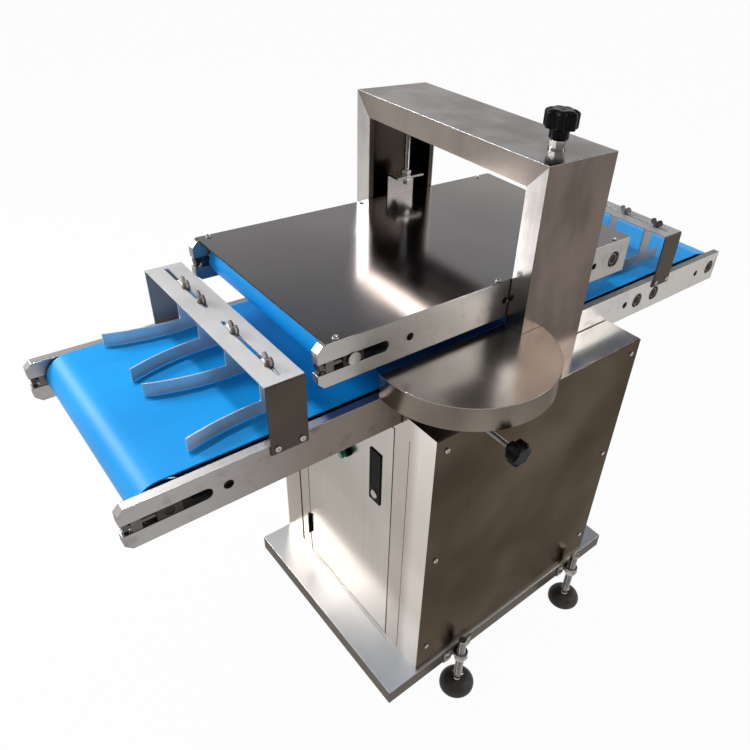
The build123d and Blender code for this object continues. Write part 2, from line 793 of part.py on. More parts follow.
# Arch: a folded channel, open on its inner side, with a lip along each inner edge
with BuildPart() as arch_frame:
    block(-arch_half, arch_half, arch_front, arch_back, cabinet_shoulder, arch_top)
    block(-arch_inside, arch_inside, arch_front, arch_back, cabinet_shoulder, arch_soffit, Mode.SUBTRACT)
    hollow_front = arch_front + arch_sheet
    hollow_back = arch_back - arch_sheet
    hollow_out = arch_half - arch_sheet
    hollow_in = arch_inside + arch_sheet
    hollow_top = arch_top - arch_sheet
    hollow_floor = cabinet_shoulder + arch_foot
    lip_front = arch_front + arch_lip
    lip_back = arch_back - arch_lip
    beam_floor = arch_soffit + arch_sheet
    block(-hollow_out, hollow_out, hollow_front, hollow_back, beam_floor, hollow_top, Mode.SUBTRACT)
    block(-arch_inside, arch_inside, lip_front, lip_back, arch_soffit, hollow_top, Mode.SUBTRACT)
    for side in (-1, 1):
        leg_low, leg_high = sorted((side * hollow_in, side * hollow_out))
        block(leg_low, leg_high, hollow_front, hollow_back, hollow_floor, hollow_top, Mode.SUBTRACT)
        lip_low, lip_high = sorted((side * arch_inside, side * hollow_in))
        block(lip_low, lip_high, lip_front, lip_back, hollow_floor, hollow_top, Mode.SUBTRACT)
        shelf_in = arch_inside - shelf_length / 2
        shelf_low, shelf_high = sorted((side * shelf_in, side * (shelf_in + shelf_length)))
        block(shelf_low, shelf_high, hollow_front, hollow_back, shelf_top - shelf_thick, shelf_top)
        round_z(neck_radius + face_gap, side * lift_x, lift_y, arch_soffit, shelf_top, Mode.SUBTRACT)
    round_z(stem_radius + face_gap, lift_x, lift_y, hollow_top, arch_top, Mode.SUBTRACT)
    guard_back = knife_y + guard_radius
    block(
        arch_inside,
        arch_half,
        arch_front,
        guard_back + notch_gap,
        cabinet_shoulder,
        guard_top + notch_gap,
        Mode.SUBTRACT,
    )
keep(arch_frame, "arch_frame")

# Lift: a bracket on each side plate, the threaded rods clamped in them, and the rod nuts
with BuildPart() as lift_brackets:
    for side in (-1, 1):
        bracket_out = upper_out + bracket_thick
        wall_low, wall_high = sorted((side * upper_out, side * bracket_out))
        tab_low, tab_high = sorted((side * (bracket_out - bracket_reach), side * bracket_out))
        bracket_front = lift_y - bracket_width / 2
        bracket_back = lift_y + bracket_width / 2
        block(wall_low, wall_high, bracket_front, bracket_back, upper_top - bracket_overlap, tab_top)
        block(tab_low, tab_high, bracket_front, bracket_back, tab_top - bracket_thick, tab_top)
        tab_bottom = tab_top - bracket_thick
        round_z(lift_rod_radius + push_gap, side * lift_x, lift_y, tab_bottom, tab_top, Mode.SUBTRACT)
keep(lift_brackets, "lift_brackets")

with BuildPart() as lift_rods:
    for side in (-1, 1):
        for nut_z in (tab_top, tab_top - bracket_thick - rod_nut_height):
            hex_prism(Plane((side * lift_x, lift_y, nut_z)), rod_nut_flats, rod_nut_height)
            nut_top = nut_z + rod_nut_height
            round_z(lift_rod_radius + push_gap, side * lift_x, lift_y, nut_z, nut_top, Mode.SUBTRACT)
        round_z(lift_rod_radius, side * lift_x, lift_y, rod_bottom, rod_top)
keep(lift_rods, "lift_rods")

# Lift: a sprocket nut on each rod, the chain that ties them, and the star knob on the right one
for nut_name, side in (("right_sprocket_nut", 1), ("left_sprocket_nut", -1)):
    with BuildPart() as sprocket_nut:
        if side > 0:
            round_z(knob_washer_radius, lift_x, lift_y, washer_z, washer_z + knob_washer_thick)
            hex_prism(Plane((lift_x, lift_y, washer_z + knob_washer_thick)), knob_nut_flats, knob_nut_height)
            round_z(stem_radius + push_gap, lift_x, lift_y, washer_z, knob_foot, Mode.SUBTRACT)
        round_z(neck_radius, side * lift_x, lift_y, nut_foot - neck_length, nut_foot)
        round_z(nut_hub_radius, side * lift_x, lift_y, nut_foot, nut_foot + nut_hub_height)
        round_z(sprocket_radius, side * lift_x, lift_y, sprocket_z, sprocket_z + sprocket_thick)
        if side > 0:
            round_z(stem_radius, lift_x, lift_y, nut_foot, knob_foot + knob_hub_height)
        round_z(
            lift_rod_radius + running_gap,
            side * lift_x,
            lift_y,
            nut_foot - neck_length,
            knob_foot + knob_hub_height,
            Mode.SUBTRACT,
        )
    keep(sprocket_nut, nut_name)

with BuildPart() as lift_chain:
    chain_wheels = ((-lift_x, lift_y, sprocket_radius), (lift_x, lift_y, sprocket_radius))
    band(Plane.XY.offset(sprocket_z), chain_wheels, face_gap, chain_thick, sprocket_thick)
keep(lift_chain, "lift_chain")

with BuildPart() as star_knob:
    round_z(knob_hub_radius, lift_x, lift_y, knob_foot, knob_foot + knob_hub_height)
    head_z0 = knob_foot + knob_hub_height
    with BuildSketch(Plane((lift_x, lift_y, head_z0))):
        Circle(knob_core_radius)
        with PolarLocations(knob_radius - knob_lobe_radius, knob_lobes):
            Circle(knob_lobe_radius)
    extrude(amount=knob_height)
    with BuildSketch(Plane((lift_x, lift_y, knob_foot), (1, 0, 0), (0, -1, 0))):
        with BuildLine():
            knob_edge = (knob_radius, knob_hub_height + knob_wall)
            knob_crown = (0, knob_hub_height + knob_height)
            Line((0, 0), (knob_radius, 0))
            Line((knob_radius, 0), knob_edge)
            TangentArc(knob_crown, knob_edge, tangent=(1, 0))
            Line(knob_crown, (0, 0))
        make_face()
    revolve(axis=Axis((lift_x, lift_y, 0), (0, 0, 1)), mode=Mode.INTERSECT)
    round_z(stem_radius + push_gap, lift_x, lift_y, knob_foot, knob_foot + knob_hub_height, Mode.SUBTRACT)
keep(star_knob, "star_knob")

# Knife: a disc with a bevelled edge, its spindle with pulley, and the nut that clamps it
knife_axis = Axis((knife_x, knife_y, 0), (0, 0, 1))
with BuildPart() as disc_knife:
    with BuildSketch(Plane((knife_x, knife_y, knife_z), (1, 0, 0), (0, -1, 0))):
        with BuildLine():
            Polyline(
                (spindle_radius + push_gap, 0),
                (knife_radius - knife_bevel, 0),
                (knife_radius, (knife_thick - knife_land) / 2),
                (knife_radius, (knife_thick + knife_land) / 2),
                (knife_radius - knife_bevel, knife_thick),
                (spindle_radius + push_gap, knife_thick),
                close=True,
            )
        make_face()
    revolve(axis=knife_axis)
keep(disc_knife, "disc_knife")

with BuildPart() as knife_spindle:
    knife_nut_top = knife_z + knife_thick + spindle_nut_height
    hex_prism(Plane((knife_x, knife_y, knife_z + knife_thick)), spindle_nut_flats, spindle_nut_height)
    round_z(spindle_radius + push_gap, knife_x, knife_y, knife_z, knife_nut_top, Mode.SUBTRACT)
    round_z(spindle_radius, knife_x, knife_y, pulley_bottom, knife_nut_top)
    round_z(spindle_pulley_radius, knife_x, knife_y, pulley_bottom, pulley_top)
    round_z(spindle_flange_radius, knife_x, knife_y, knife_z - spindle_flange_thick, knife_z)
keep(knife_spindle, "knife_spindle")

with BuildPart() as knife_guard:
    for inset, low, high, mode in (
        (0.0, guard_bottom, guard_top, Mode.ADD),
        (guard_sheet, guard_bottom + guard_sheet, guard_top - guard_sheet, Mode.SUBTRACT),
    ):
        with BuildSketch(Plane.XY.offset(low)):
            with Locations((knife_x, knife_y)):
                Circle(guard_radius - inset)
            with Locations((guard_edge - guard_radius, knife_y)):
                Rectangle(2 * guard_radius, 2 * guard_radius, mode=Mode.SUBTRACT)
        extrude(amount=high - low, mode=mode)
    guard_floor = guard_bottom + guard_sheet
    round_z(spindle_radius + guard_sheet, knife_x, knife_y, guard_bottom, guard_floor, Mode.SUBTRACT)
keep(knife_guard, "knife_guard")

with BuildPart() as spindle_housing:
    housing_y0 = knife_y - housing_front
    housing_y1 = knife_y + housing_back
    block(housing_x0, housing_x1, housing_y0, housing_y1, cabinet_shoulder, guard_bottom)
    round_z(housing_inside, knife_x, knife_y, rail_bottom, cabinet_shoulder)
    round_z(spindle_radius + running_gap, knife_x, knife_y, rail_bottom, guard_bottom, Mode.SUBTRACT)
    round_x(clamp_radius + running_gap, clamp_start, housing_x1, clamp_y, clamp_z, Mode.SUBTRACT)
keep(spindle_housing, "spindle_housing")

with BuildPart() as clamp_rod:
    round_x(clamp_radius, clamp_start + face_gap, clamp_end, clamp_y, clamp_z)
keep(clamp_rod, "clamp_rod")

with BuildPart() as hand_knob:
    knob_start = clamp_end - hand_hub_length
    round_x(hand_hub_radius, knob_start, clamp_end, clamp_y, clamp_z)
    with BuildSketch(Plane((clamp_end, clamp_y, clamp_z), (0, 1, 0), (1, 0, 0))):
        Circle(hand_core_radius)
        with PolarLocations(hand_knob_radius - hand_lobe_radius, hand_knob_lobes):
            Circle(hand_lobe_radius)
    extrude(amount=hand_knob_length)
    chamfer(hand_knob.faces().sort_by(Axis.X)[-1].edges(), hand_knob_bevel)
    round_x(clamp_radius + push_gap, knob_start, clamp_end, clamp_y, clamp_z, Mode.SUBTRACT)
keep(hand_knob, "hand_knob")

# Knife drive inside the cabinet: motor, its pulley and the flat belt
with BuildPart() as knife_motor:
    flange_z = motor_top - motor_flange_thick
    half_flange = motor_flange / 2
    flange_y0 = motor_y - half_flange
    flange_y1 = motor_y + half_flange
    block(knife_x - half_flange, knife_x + half_flange, flange_y0, flange_y1, flange_z, motor_top)
    round_z(motor_radius, knife_x, motor_y, flange_z - motor_height, flange_z)
    round_z(motor_boss_radius, knife_x, motor_y, motor_top, motor_top + motor_boss_height)
    boss_top = motor_top + motor_boss_height
    shaft_floor = boss_top - motor_shaft_depth
    round_z(motor_shaft_radius + running_gap, knife_x, motor_y, shaft_floor, boss_top, Mode.SUBTRACT)
keep(knife_motor, "knife_motor")

with BuildPart() as motor_pulley:
    round_z(motor_shaft_radius, knife_x, motor_y, shaft_floor + face_gap, pulley_bottom)
    round_z(motor_pulley_radius, knife_x, motor_y, pulley_bottom, pulley_top)
keep(motor_pulley, "motor_pulley")

with BuildPart() as knife_drive_belt:
    belt_z0 = (pulley_bottom + pulley_top - drive_belt_height) / 2
    drive_wheels = ((knife_x, knife_y, spindle_pulley_radius), (knife_x, motor_y, motor_pulley_radius))
    band(Plane.XY.offset(belt_z0), drive_wheels, face_gap, drive_belt_thick, drive_belt_height)
keep(knife_drive_belt, "knife_drive_belt")

# Cabinet: a sheet shell with a shoulder at each side, a ledge under each rail and a trough between
with BuildPart() as cabinet_shell:
    block(cabinet_left, cabinet_right, cabinet_front, cabinet_back, base_top, cabinet_shoulder)
    block(-shoulder_x, shoulder_x, cabinet_front, cabinet_back, rail_bottom, cabinet_shoulder, Mode.SUBTRACT)
    block(-ledge_x, ledge_x, cabinet_front, cabinet_back, trough_top, rail_bottom, Mode.SUBTRACT)
    inner_front = cabinet_front + cabinet_sheet
    inner_back = cabinet_back - cabinet_sheet
    inner_left = cabinet_left + cabinet_sheet
    inner_right = cabinet_right - cabinet_sheet
    for near_left, near_right, roof in (
        (inner_left, inner_right, trough_top),
        (inner_left, -ledge_x - cabinet_sheet, rail_bottom),
        (ledge_x + cabinet_sheet, inner_right, rail_bottom),
        (inner_left, -shoulder_x - cabinet_sheet, cabinet_shoulder),
        (shoulder_x + cabinet_sheet, inner_right, cabinet_shoulder),
    ):
        block(near_left, near_right, inner_front, inner_back, base_top, roof - cabinet_sheet, Mode.SUBTRACT)
    block(
        door_left - door_gap,
        door_right + door_gap,
        cabinet_front,
        inner_front,
        door_bottom - door_gap,
        door_top + door_gap,
        Mode.SUBTRACT,
    )
    for slit_x, slit in ((post_slit_x, post_slit), (housing_slit_x, housing_slit)):
        block(
            slit_x - slit / 2,
            slit_x + slit / 2,
            cabinet_front,
            inner_front,
            door_bottom - door_gap,
            door_top + door_gap,
            Mode.SUBTRACT,
        )
    block(
        inner_right,
        cabinet_right,
        cabinet_front + panel_frame,
        cabinet_back - panel_frame,
        base_top + panel_frame_low,
        cabinet_shoulder - panel_frame,
        Mode.SUBTRACT,
    )
    for screw_y in panel_screws_y:
        for screw_z in panel_screws_z:
            round_x(screw_hole_radius, inner_right, cabinet_right, screw_y, screw_z, Mode.SUBTRACT)
    round_z(housing_inside + face_gap, knife_x, knife_y, rail_bottom, cabinet_shoulder, Mode.SUBTRACT)
    block(
        motor_shelf_inside, inner_right - sheet_gap, motor_shelf_front, inner_back, motor_top, motor_shelf_top
    )
    round_z(motor_boss_radius + face_gap, knife_x, motor_y, motor_top, motor_shelf_top, Mode.SUBTRACT)
keep(cabinet_shell, "cabinet_shell")

with BuildPart() as side_panel:
    block(cabinet_right, panel_out, cabinet_front, cabinet_back, base_top + sheet_gap, cabinet_shoulder)
    for screw_y in panel_screws_y:
        for screw_z in panel_screws_z:
            round_x(screw_hole_radius, cabinet_right, panel_out, screw_y, screw_z, Mode.SUBTRACT)
keep(side_panel, "side_panel")

# Cabinet door: a folded pan with hinges at its left edge, a lever lock and the power button
with BuildPart() as cabinet_door:
    door_back = cabinet_front + door_depth
    block(door_left, door_right, cabinet_front, door_back, door_bottom, door_top)
    block(
        door_left + door_sheet,
        door_right - door_sheet,
        cabinet_front + door_sheet,
        door_back,
        door_bottom + door_sheet,
        door_top - door_sheet,
        Mode.SUBTRACT,
    )
    round_y(collar_neck_radius + face_gap, power_x, cabinet_front, door_back, power_z, Mode.SUBTRACT)
    half_case = lock_width / 2 - lock_flange
    block(
        lock_x - half_case - face_gap,
        lock_x + half_case + face_gap,
        cabinet_front,
        cabinet_front + door_sheet,
        lock_bottom + lock_flange - face_gap,
        lock_top - lock_flange + face_gap,
        Mode.SUBTRACT,
    )
keep(cabinet_door, "cabinet_door")

knuckle = hinge_height / 3
with BuildPart() as hinge_posts:
    for hinge_z in hinges_z:
        for low in (hinge_z - hinge_height / 2, hinge_z + hinge_height / 2 - knuckle):
            round_z(hinge_radius, hinge_x, hinge_y, low, low + knuckle)
            leaf_front = cabinet_front - hinge_leaf_thick
            block(hinge_x - hinge_leaf, hinge_x, leaf_front, cabinet_front, low, low + knuckle)
        round_z(hinge_pin_radius, hinge_x, hinge_y, hinge_z - hinge_height / 2, hinge_z + hinge_height / 2)
keep(hinge_posts, "hinge_posts")

with BuildPart() as hinge_leaves:
    for hinge_z in hinges_z:
        low = hinge_z - knuckle / 2 + face_gap
        high = hinge_z + knuckle / 2 - face_gap
        round_z(hinge_radius, hinge_x, hinge_y, low, high)
        block(hinge_x, hinge_x + hinge_leaf, cabinet_front - hinge_leaf_thick, cabinet_front, low, high)
        round_z(hinge_pin_radius + running_gap, hinge_x, hinge_y, low, high, Mode.SUBTRACT)
keep(hinge_leaves, "hinge_leaves")

with BuildPart() as lock_body:
    half_lock = lock_width / 2
    block(lock_x - half_lock, lock_x + half_lock, lock_front, cabinet_front, lock_bottom, lock_top)
    block(
        lock_x - half_case,
        lock_x + half_case,
        cabinet_front,
        cabinet_front + lock_sink,
        lock_bottom + lock_flange,
        lock_top - lock_flange,
    )
    block(
        lock_x - half_lock + lock_rim,
        lock_x + half_lock - lock_rim,
        lock_front,
        lock_floor_y,
        lever_bottom - face_gap,
        lock_top - lock_rim,
        Mode.SUBTRACT,
    )
    round_y(
        lock_button_radius + running_gap,
        lock_x,
        lock_front,
        lock_floor_y,
        lock_button_z,
        Mode.SUBTRACT,
    )
    pin_seat = pin_half + face_gap
    seat_radius = lever_pin_radius + running_gap
    round_x(seat_radius, lock_x - pin_seat, lock_x + pin_seat, lever_y, lever_z, Mode.SUBTRACT)
keep(lock_body, "lock_body")

with BuildPart() as lock_lever:
    lever_low_x = lock_x - lever_half
    lever_high_x = lock_x + lever_half
    lever_front = lever_y - lever_thick / 2
    block(lever_low_x, lever_high_x, lever_front, lever_front + lever_thick, lever_bottom, lever_z)
    round_x(lever_thick / 2, lever_low_x, lever_high_x, lever_y, lever_z)
    round_x(lever_pin_radius, lock_x - pin_half, lock_x + pin_half, lever_y, lever_z)
keep(lock_lever, "lock_lever")

with BuildPart() as lock_button:
    button_back = lock_floor_y - lock_button_travel - face_gap
    round_y(lock_button_radius, lock_x, lock_front - lock_button_proud, button_back, lock_button_z)
    chamfer(lock_button.faces().sort_by(Axis.Y)[0].edges(), lock_button_bevel)
keep(lock_button, "lock_button")

with BuildPart() as power_collar:
    round_y(collar_radius, power_x, collar_front, cabinet_front, power_z)
    chamfer(power_collar.faces().sort_by(Axis.Y)[0].edges(), collar_bevel)
    round_y(collar_neck_radius, power_x, cabinet_front, cabinet_front + collar_neck_length, power_z)
    neck_end = cabinet_front + collar_neck_length
    round_y(power_stem_radius + running_gap, power_x, collar_front, neck_end, power_z, Mode.SUBTRACT)
keep(power_collar, "power_collar")

with BuildPart() as power_button:
    round_y(power_cap_radius, power_x, power_cap_back - power_cap_length, power_cap_back, power_z)
    fillet(power_button.faces().sort_by(Axis.Y)[0].edges(), power_cap_round)
    round_y(power_stem_radius, power_x, power_cap_back, cabinet_front, power_z)
keep(power_button, "power_button")

# Base tray and levelling feet
with BuildPart() as base_tray:
    block(base_left, base_right, base_front, base_back, base_bottom, base_top)
    block(
        base_left + base_sheet,
        base_right - base_sheet,
        base_front + base_sheet,
        base_back - base_sheet,
        base_bottom,
        base_top - base_sheet,
        Mode.SUBTRACT,
    )
    for base_side, side, foot_y in foot_places:
        wall_low, wall_high = sorted((base_side, base_side - side * base_sheet))
        for step in (-0.5, 0.5):
            for screw_z in foot_screws_z:
                screw_y = foot_y + step * foot_screw_spread
                round_x(screw_hole_radius, wall_low, wall_high, screw_y, screw_z, Mode.SUBTRACT)
keep(base_tray, "base_tray")

foot_lug_bottom = foot_lug_top - foot_lug_thick
with BuildPart() as foot_brackets:
    for base_side, side, foot_y in foot_places:
        stud_x = base_side + side * foot_reach
        plate_low, plate_high = sorted((base_side, base_side + side * foot_plate_thick))
        lug_low, lug_high = sorted((base_side, stud_x))
        plate_y0 = foot_y - foot_plate_width / 2
        plate_y1 = foot_y + foot_plate_width / 2
        plate_z0 = base_bottom + (base_height - foot_plate_height) / 2
        block(plate_low, plate_high, plate_y0, plate_y1, plate_z0, plate_z0 + foot_plate_height)
        lug_y0 = foot_y - foot_lug_radius
        lug_y1 = foot_y + foot_lug_radius
        nut_half = stud_nut_flats / 2 + foot_plate_thick
        notch_y0 = foot_y - nut_half
        notch_y1 = foot_y + nut_half
        block(plate_low, plate_high, notch_y0, notch_y1, plate_z0, foot_lug_bottom, Mode.SUBTRACT)
        block(lug_low, lug_high, lug_y0, lug_y1, foot_lug_bottom, foot_lug_top)
        with BuildSketch(Plane((stud_x, foot_y, foot_lug_bottom))):
            with Locations((side * foot_lug_radius / 2, 0)):
                Rectangle(foot_lug_radius, 2 * foot_lug_radius)
            Circle(foot_lug_radius, mode=Mode.INTERSECT)
        extrude(amount=foot_lug_thick)
        round_z(stud_radius + push_gap, stud_x, foot_y, foot_lug_bottom, foot_lug_top, Mode.SUBTRACT)
        for step in (-0.5, 0.5):
            for screw_z in foot_screws_z:
                screw_y = foot_y + step * foot_screw_spread
                round_x(screw_hole_radius, plate_low, plate_high, screw_y, screw_z, Mode.SUBTRACT)
keep(foot_brackets, "foot_brackets")

with BuildPart() as foot_studs:
    for base_side, side, foot_y in foot_places:
        stud_x = base_side + side * foot_reach
        nut_z = foot_lug_bottom - stud_nut_height
        hex_prism(Plane((stud_x, foot_y, nut_z), (0, 1, 0), (0, 0, 1)), stud_nut_flats, stud_nut_height)
        round_z(stud_radius + push_gap, stud_x, foot_y, nut_z, foot_lug_bottom, Mode.SUBTRACT)
        with Locations((stud_x, foot_y, ball_height)):
            Sphere(ball_radius)
        round_z(stud_neck_radius, stud_x, foot_y, ball_height, stud_hex_bottom)
        hex_prism(Plane((stud_x, foot_y, stud_hex_bottom)), stud_hex_flats, stud_hex_height)
        round_z(stud_radius, stud_x, foot_y, stud_hex_bottom, stud_top)
keep(foot_studs, "foot_studs")

with BuildPart() as foot_pads:
    for base_side, side, foot_y in foot_places:
        stud_x = base_side + side * foot_reach
        with BuildSketch(Plane((stud_x, foot_y, 0), (1, 0, 0), (0, -1, 0))):
            with BuildLine():
                Polyline((0, pad_height), (0, 0), (pad_radius, 0), (pad_radius, pad_rim))
                TangentArc((pad_radius, pad_rim), (pad_neck_radius, pad_height), tangent=(-pad_slope, 1))
                Line((pad_neck_radius, pad_height), (0, pad_height))
            make_face()
        revolve(axis=Axis((stud_x, foot_y, 0), (0, 0, 1)))
        with Locations((stud_x, foot_y, ball_height)):
            Sphere(ball_radius + face_gap, mode=Mode.SUBTRACT)
        round_z(ball_radius + face_gap, stud_x, foot_y, ball_height, pad_height, Mode.SUBTRACT)
keep(foot_pads, "foot_pads")

# Pan-head screws of the side panel, the bridges and the foot brackets
with BuildPart() as panel_screws:
    for screw_y in panel_screws_y:
        for screw_z in panel_screws_z:
            pan_screw(Plane((panel_out, screw_y, screw_z), (0, 1, 0), (1, 0, 0)))
    for bridge_y in (front_bridge_y, rear_bridge_y):
        for side in (-1, 1):
            for step in (-0.5, 0.5):
                screw_y = bridge_y + step * bridge_screw_pitch
                pan_screw(Plane((side * bridge_out, screw_y, bridge_screw_z), (0, 1, 0), (side, 0, 0)))
    for base_side, side, foot_y in foot_places:
        for step in (-0.5, 0.5):
            for screw_z in foot_screws_z:
                screw_y = foot_y + step * foot_screw_spread
                seat_x = base_side + side * foot_plate_thick
                pan_screw(Plane((seat_x, screw_y, screw_z), (0, 1, 0), (side, 0, 0)))
keep(panel_screws, "panel_screws")

# Guide bridges: two identical bent straps over the belt, with the slots for the wing bolts
with BuildPart() as guide_bridges:
    for bridge_y in (front_bridge_y, rear_bridge_y):
        bridge_front = bridge_y - bridge_width / 2
        with BuildSketch(Plane.XZ.offset(-bridge_front)):
            with BuildLine():
                inside_bend = bridge_bend - bridge_sheet
                leg_foot = rail_top - bridge_drop
                outside = FilletPolyline(
                    (-bridge_out, leg_foot),
                    (-bridge_out, bridge_top),
                    (bridge_out, bridge_top),
                    (bridge_out, leg_foot),
                    radius=bridge_bend,
                )
                inside = FilletPolyline(
                    (-rail_out, leg_foot),
                    (-rail_out, bridge_soffit),
                    (rail_out, bridge_soffit),
                    (rail_out, leg_foot),
                    radius=inside_bend,
                )
                Line(outside @ 0, inside @ 0)
                Line(outside @ 1, inside @ 1)
            make_face()
        extrude(amount=-bridge_width)
        for slot_start, slot_end in ((left_slot_start, left_slot_end), (right_slot_start, right_slot_end)):
            with BuildSketch(Plane.XY.offset(bridge_soffit)):
                with Locations(((slot_start + slot_end) / 2, bridge_y)):
                    SlotOverall(slot_end - slot_start, slot_width)
            extrude(amount=bridge_sheet, mode=Mode.SUBTRACT)
        for step in (-0.5, 0.5):
            screw_y = bridge_y + step * bridge_screw_pitch
            round_x(screw_hole_radius, -bridge_out, bridge_out, screw_y, bridge_screw_z, Mode.SUBTRACT)
keep(guide_bridges, "guide_bridges")


def wing_bolt(x, y):
    """A wing bolt through a bridge slot, with its washer on the bridge."""
    seat_z = bridge_top + face_gap
    hub_z = seat_z + wing_washer_thick
    round_z(wing_radius, x, y, flange_top - guide_sheet - weld_nut_height, hub_z)
    round_z(wing_washer_radius, x, y, seat_z, hub_z)
    round_z(wing_hub_radius, x, y, hub_z, hub_z + wing_hub_height)
    leaf_x = (wing_span - wing_leaf_length) / 2
    leaf_z = hub_z + wing_leaf_rise + wing_leaf_height / 2
    with BuildSketch(Plane.XZ.offset(-y - wing_thick / 2)) as wings:
        with Locations((x - leaf_x, leaf_z), (x + leaf_x, leaf_z)):
            Ellipse(wing_leaf_length / 2, wing_leaf_height / 2)
        with Locations((x, hub_z + wing_hub_height / 2)):
            Rectangle(wing_web_length, wing_web_height)
    extrude(wings.sketch, amount=wing_thick, dir=(0, -1, 0))


def guide_plate(x, front_x, front_y, bend_y, back_y, tab_y, tab_width, bolt_x, bolt_y):
    """A guide strip over the belt with a tab up to the bridge and a flange for its wing bolt."""
    with BuildSketch(Plane.XY.offset(guide_bottom)) as strip:
        with BuildLine():
            if front_y < bend_y:
                TangentArc((x, bend_y), (front_x, front_y), tangent=(0, -1))
                TangentArc((x + guide_sheet, bend_y), (front_x + guide_sheet, front_y), tangent=(0, -1))
            Line((front_x, front_y), (front_x + guide_sheet, front_y))
            Line((x, bend_y), (x, back_y))
            Line((x, back_y), (x + guide_sheet, back_y))
            Line((x + guide_sheet, bend_y), (x + guide_sheet, back_y))
        make_face()
    extrude(strip.sketch, amount=guide_height, dir=(0, 0, 1))
    block(x, x + guide_sheet, tab_y, tab_y + tab_width, guide_top, flange_top)
    flange_end = bolt_x + weld_nut_radius + guide_sheet
    block(x, flange_end, tab_y, tab_y + tab_width, flange_top - guide_sheet, flange_top)
    nut_bottom = flange_top - guide_sheet - weld_nut_height
    round_z(weld_nut_radius, bolt_x, bolt_y, nut_bottom, flange_top - guide_sheet)
    round_z(wing_radius + push_gap, bolt_x, bolt_y, nut_bottom, flange_top, Mode.SUBTRACT)


# Guide plates with their wing bolts: two flared lanes at the infeed and one lane kept at the outfeed
front_guides = (
    ("front_guide_outer_left", outer_left_x, outer_left_flare, outer_left_bolt),
    ("front_guide_inner_left", inner_left_x, inner_left_flare, inner_left_bolt),
    ("front_guide_inner_right", inner_right_x, inner_right_flare, inner_right_bolt),
    ("front_guide_outer_right", outer_right_x, outer_right_flare, outer_right_bolt),
)
for guide_name, guide_x, flare, bolt_reach in front_guides:
    with BuildPart() as front_guide:
        guide_plate(
            guide_x,
            guide_x + flare,
            guide_front_y,
            guide_bend_y,
            guide_back_y,
            front_tab_y,
            front_tab_width,
            guide_x + bolt_reach,
            front_bridge_y,
        )
        wing_bolt(guide_x + bolt_reach, front_bridge_y)
    keep(front_guide, guide_name)

rear_guides = (
    ("rear_guide_inner", rear_inner_x, rear_inner_bolt),
    ("rear_guide_outer", rear_outer_x, rear_outer_bolt),
)
for guide_name, guide_x, bolt_reach in rear_guides:
    with BuildPart() as rear_guide:
        guide_plate(
            guide_x,
            guide_x,
            rear_guide_front_y,
            rear_guide_front_y,
            rear_guide_back_y,
            rear_tab_y,
            rear_tab_width,
            guide_x + bolt_reach,
            rear_bridge_y,
        )
        wing_bolt(guide_x + bolt_reach, rear_bridge_y)
    keep(rear_guide, guide_name)
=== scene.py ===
"""Looks of a two-belt bun slicer: finishes for its solids, and finer pieces where the solids are plain."""

import logging
import math
from dataclasses import dataclass, field
from enum import Enum
from typing import Any, Sequence

import bpy
import numpy as np
from mathutils import Matrix, Vector


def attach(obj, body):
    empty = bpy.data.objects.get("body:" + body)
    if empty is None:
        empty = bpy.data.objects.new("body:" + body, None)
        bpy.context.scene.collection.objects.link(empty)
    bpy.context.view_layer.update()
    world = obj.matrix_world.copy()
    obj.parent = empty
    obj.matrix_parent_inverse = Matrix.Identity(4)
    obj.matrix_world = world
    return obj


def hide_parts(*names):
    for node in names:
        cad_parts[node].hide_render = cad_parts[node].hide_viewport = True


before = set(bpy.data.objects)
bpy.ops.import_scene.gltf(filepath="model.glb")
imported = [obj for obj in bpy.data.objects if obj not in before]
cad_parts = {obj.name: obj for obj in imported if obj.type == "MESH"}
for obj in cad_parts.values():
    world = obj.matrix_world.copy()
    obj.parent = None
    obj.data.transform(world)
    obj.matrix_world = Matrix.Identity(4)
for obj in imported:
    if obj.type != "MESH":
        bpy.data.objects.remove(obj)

log = logging.getLogger("bun_slicer")

Colour = tuple[float, float, float]
Point = tuple[float, float, float]
Pair = tuple[float, float]
Row = tuple[float, "Axis", Sequence[float], Sequence[float]]
Material = bpy.types.Material
MM = 0.001


class Grain(Enum):
    """Which way a sheet was brushed, as the scale of its streaks along X, Y and Z per metre."""

    ALONG_X = (4.0, 260.0, 260.0)
    ALONG_Y = (260.0, 4.0, 260.0)
    ALONG_Z = (260.0, 260.0, 4.0)


class Axis(Enum):
    """The axis that a turned piece stands on: its direction, then the direction of angle zero."""

    UP = ((0.0, 0.0, 1.0), (1.0, 0.0, 0.0))
    RIGHT = ((1.0, 0.0, 0.0), (0.0, 1.0, 0.0))
    LEFT = ((-1.0, 0.0, 0.0), (0.0, -1.0, 0.0))


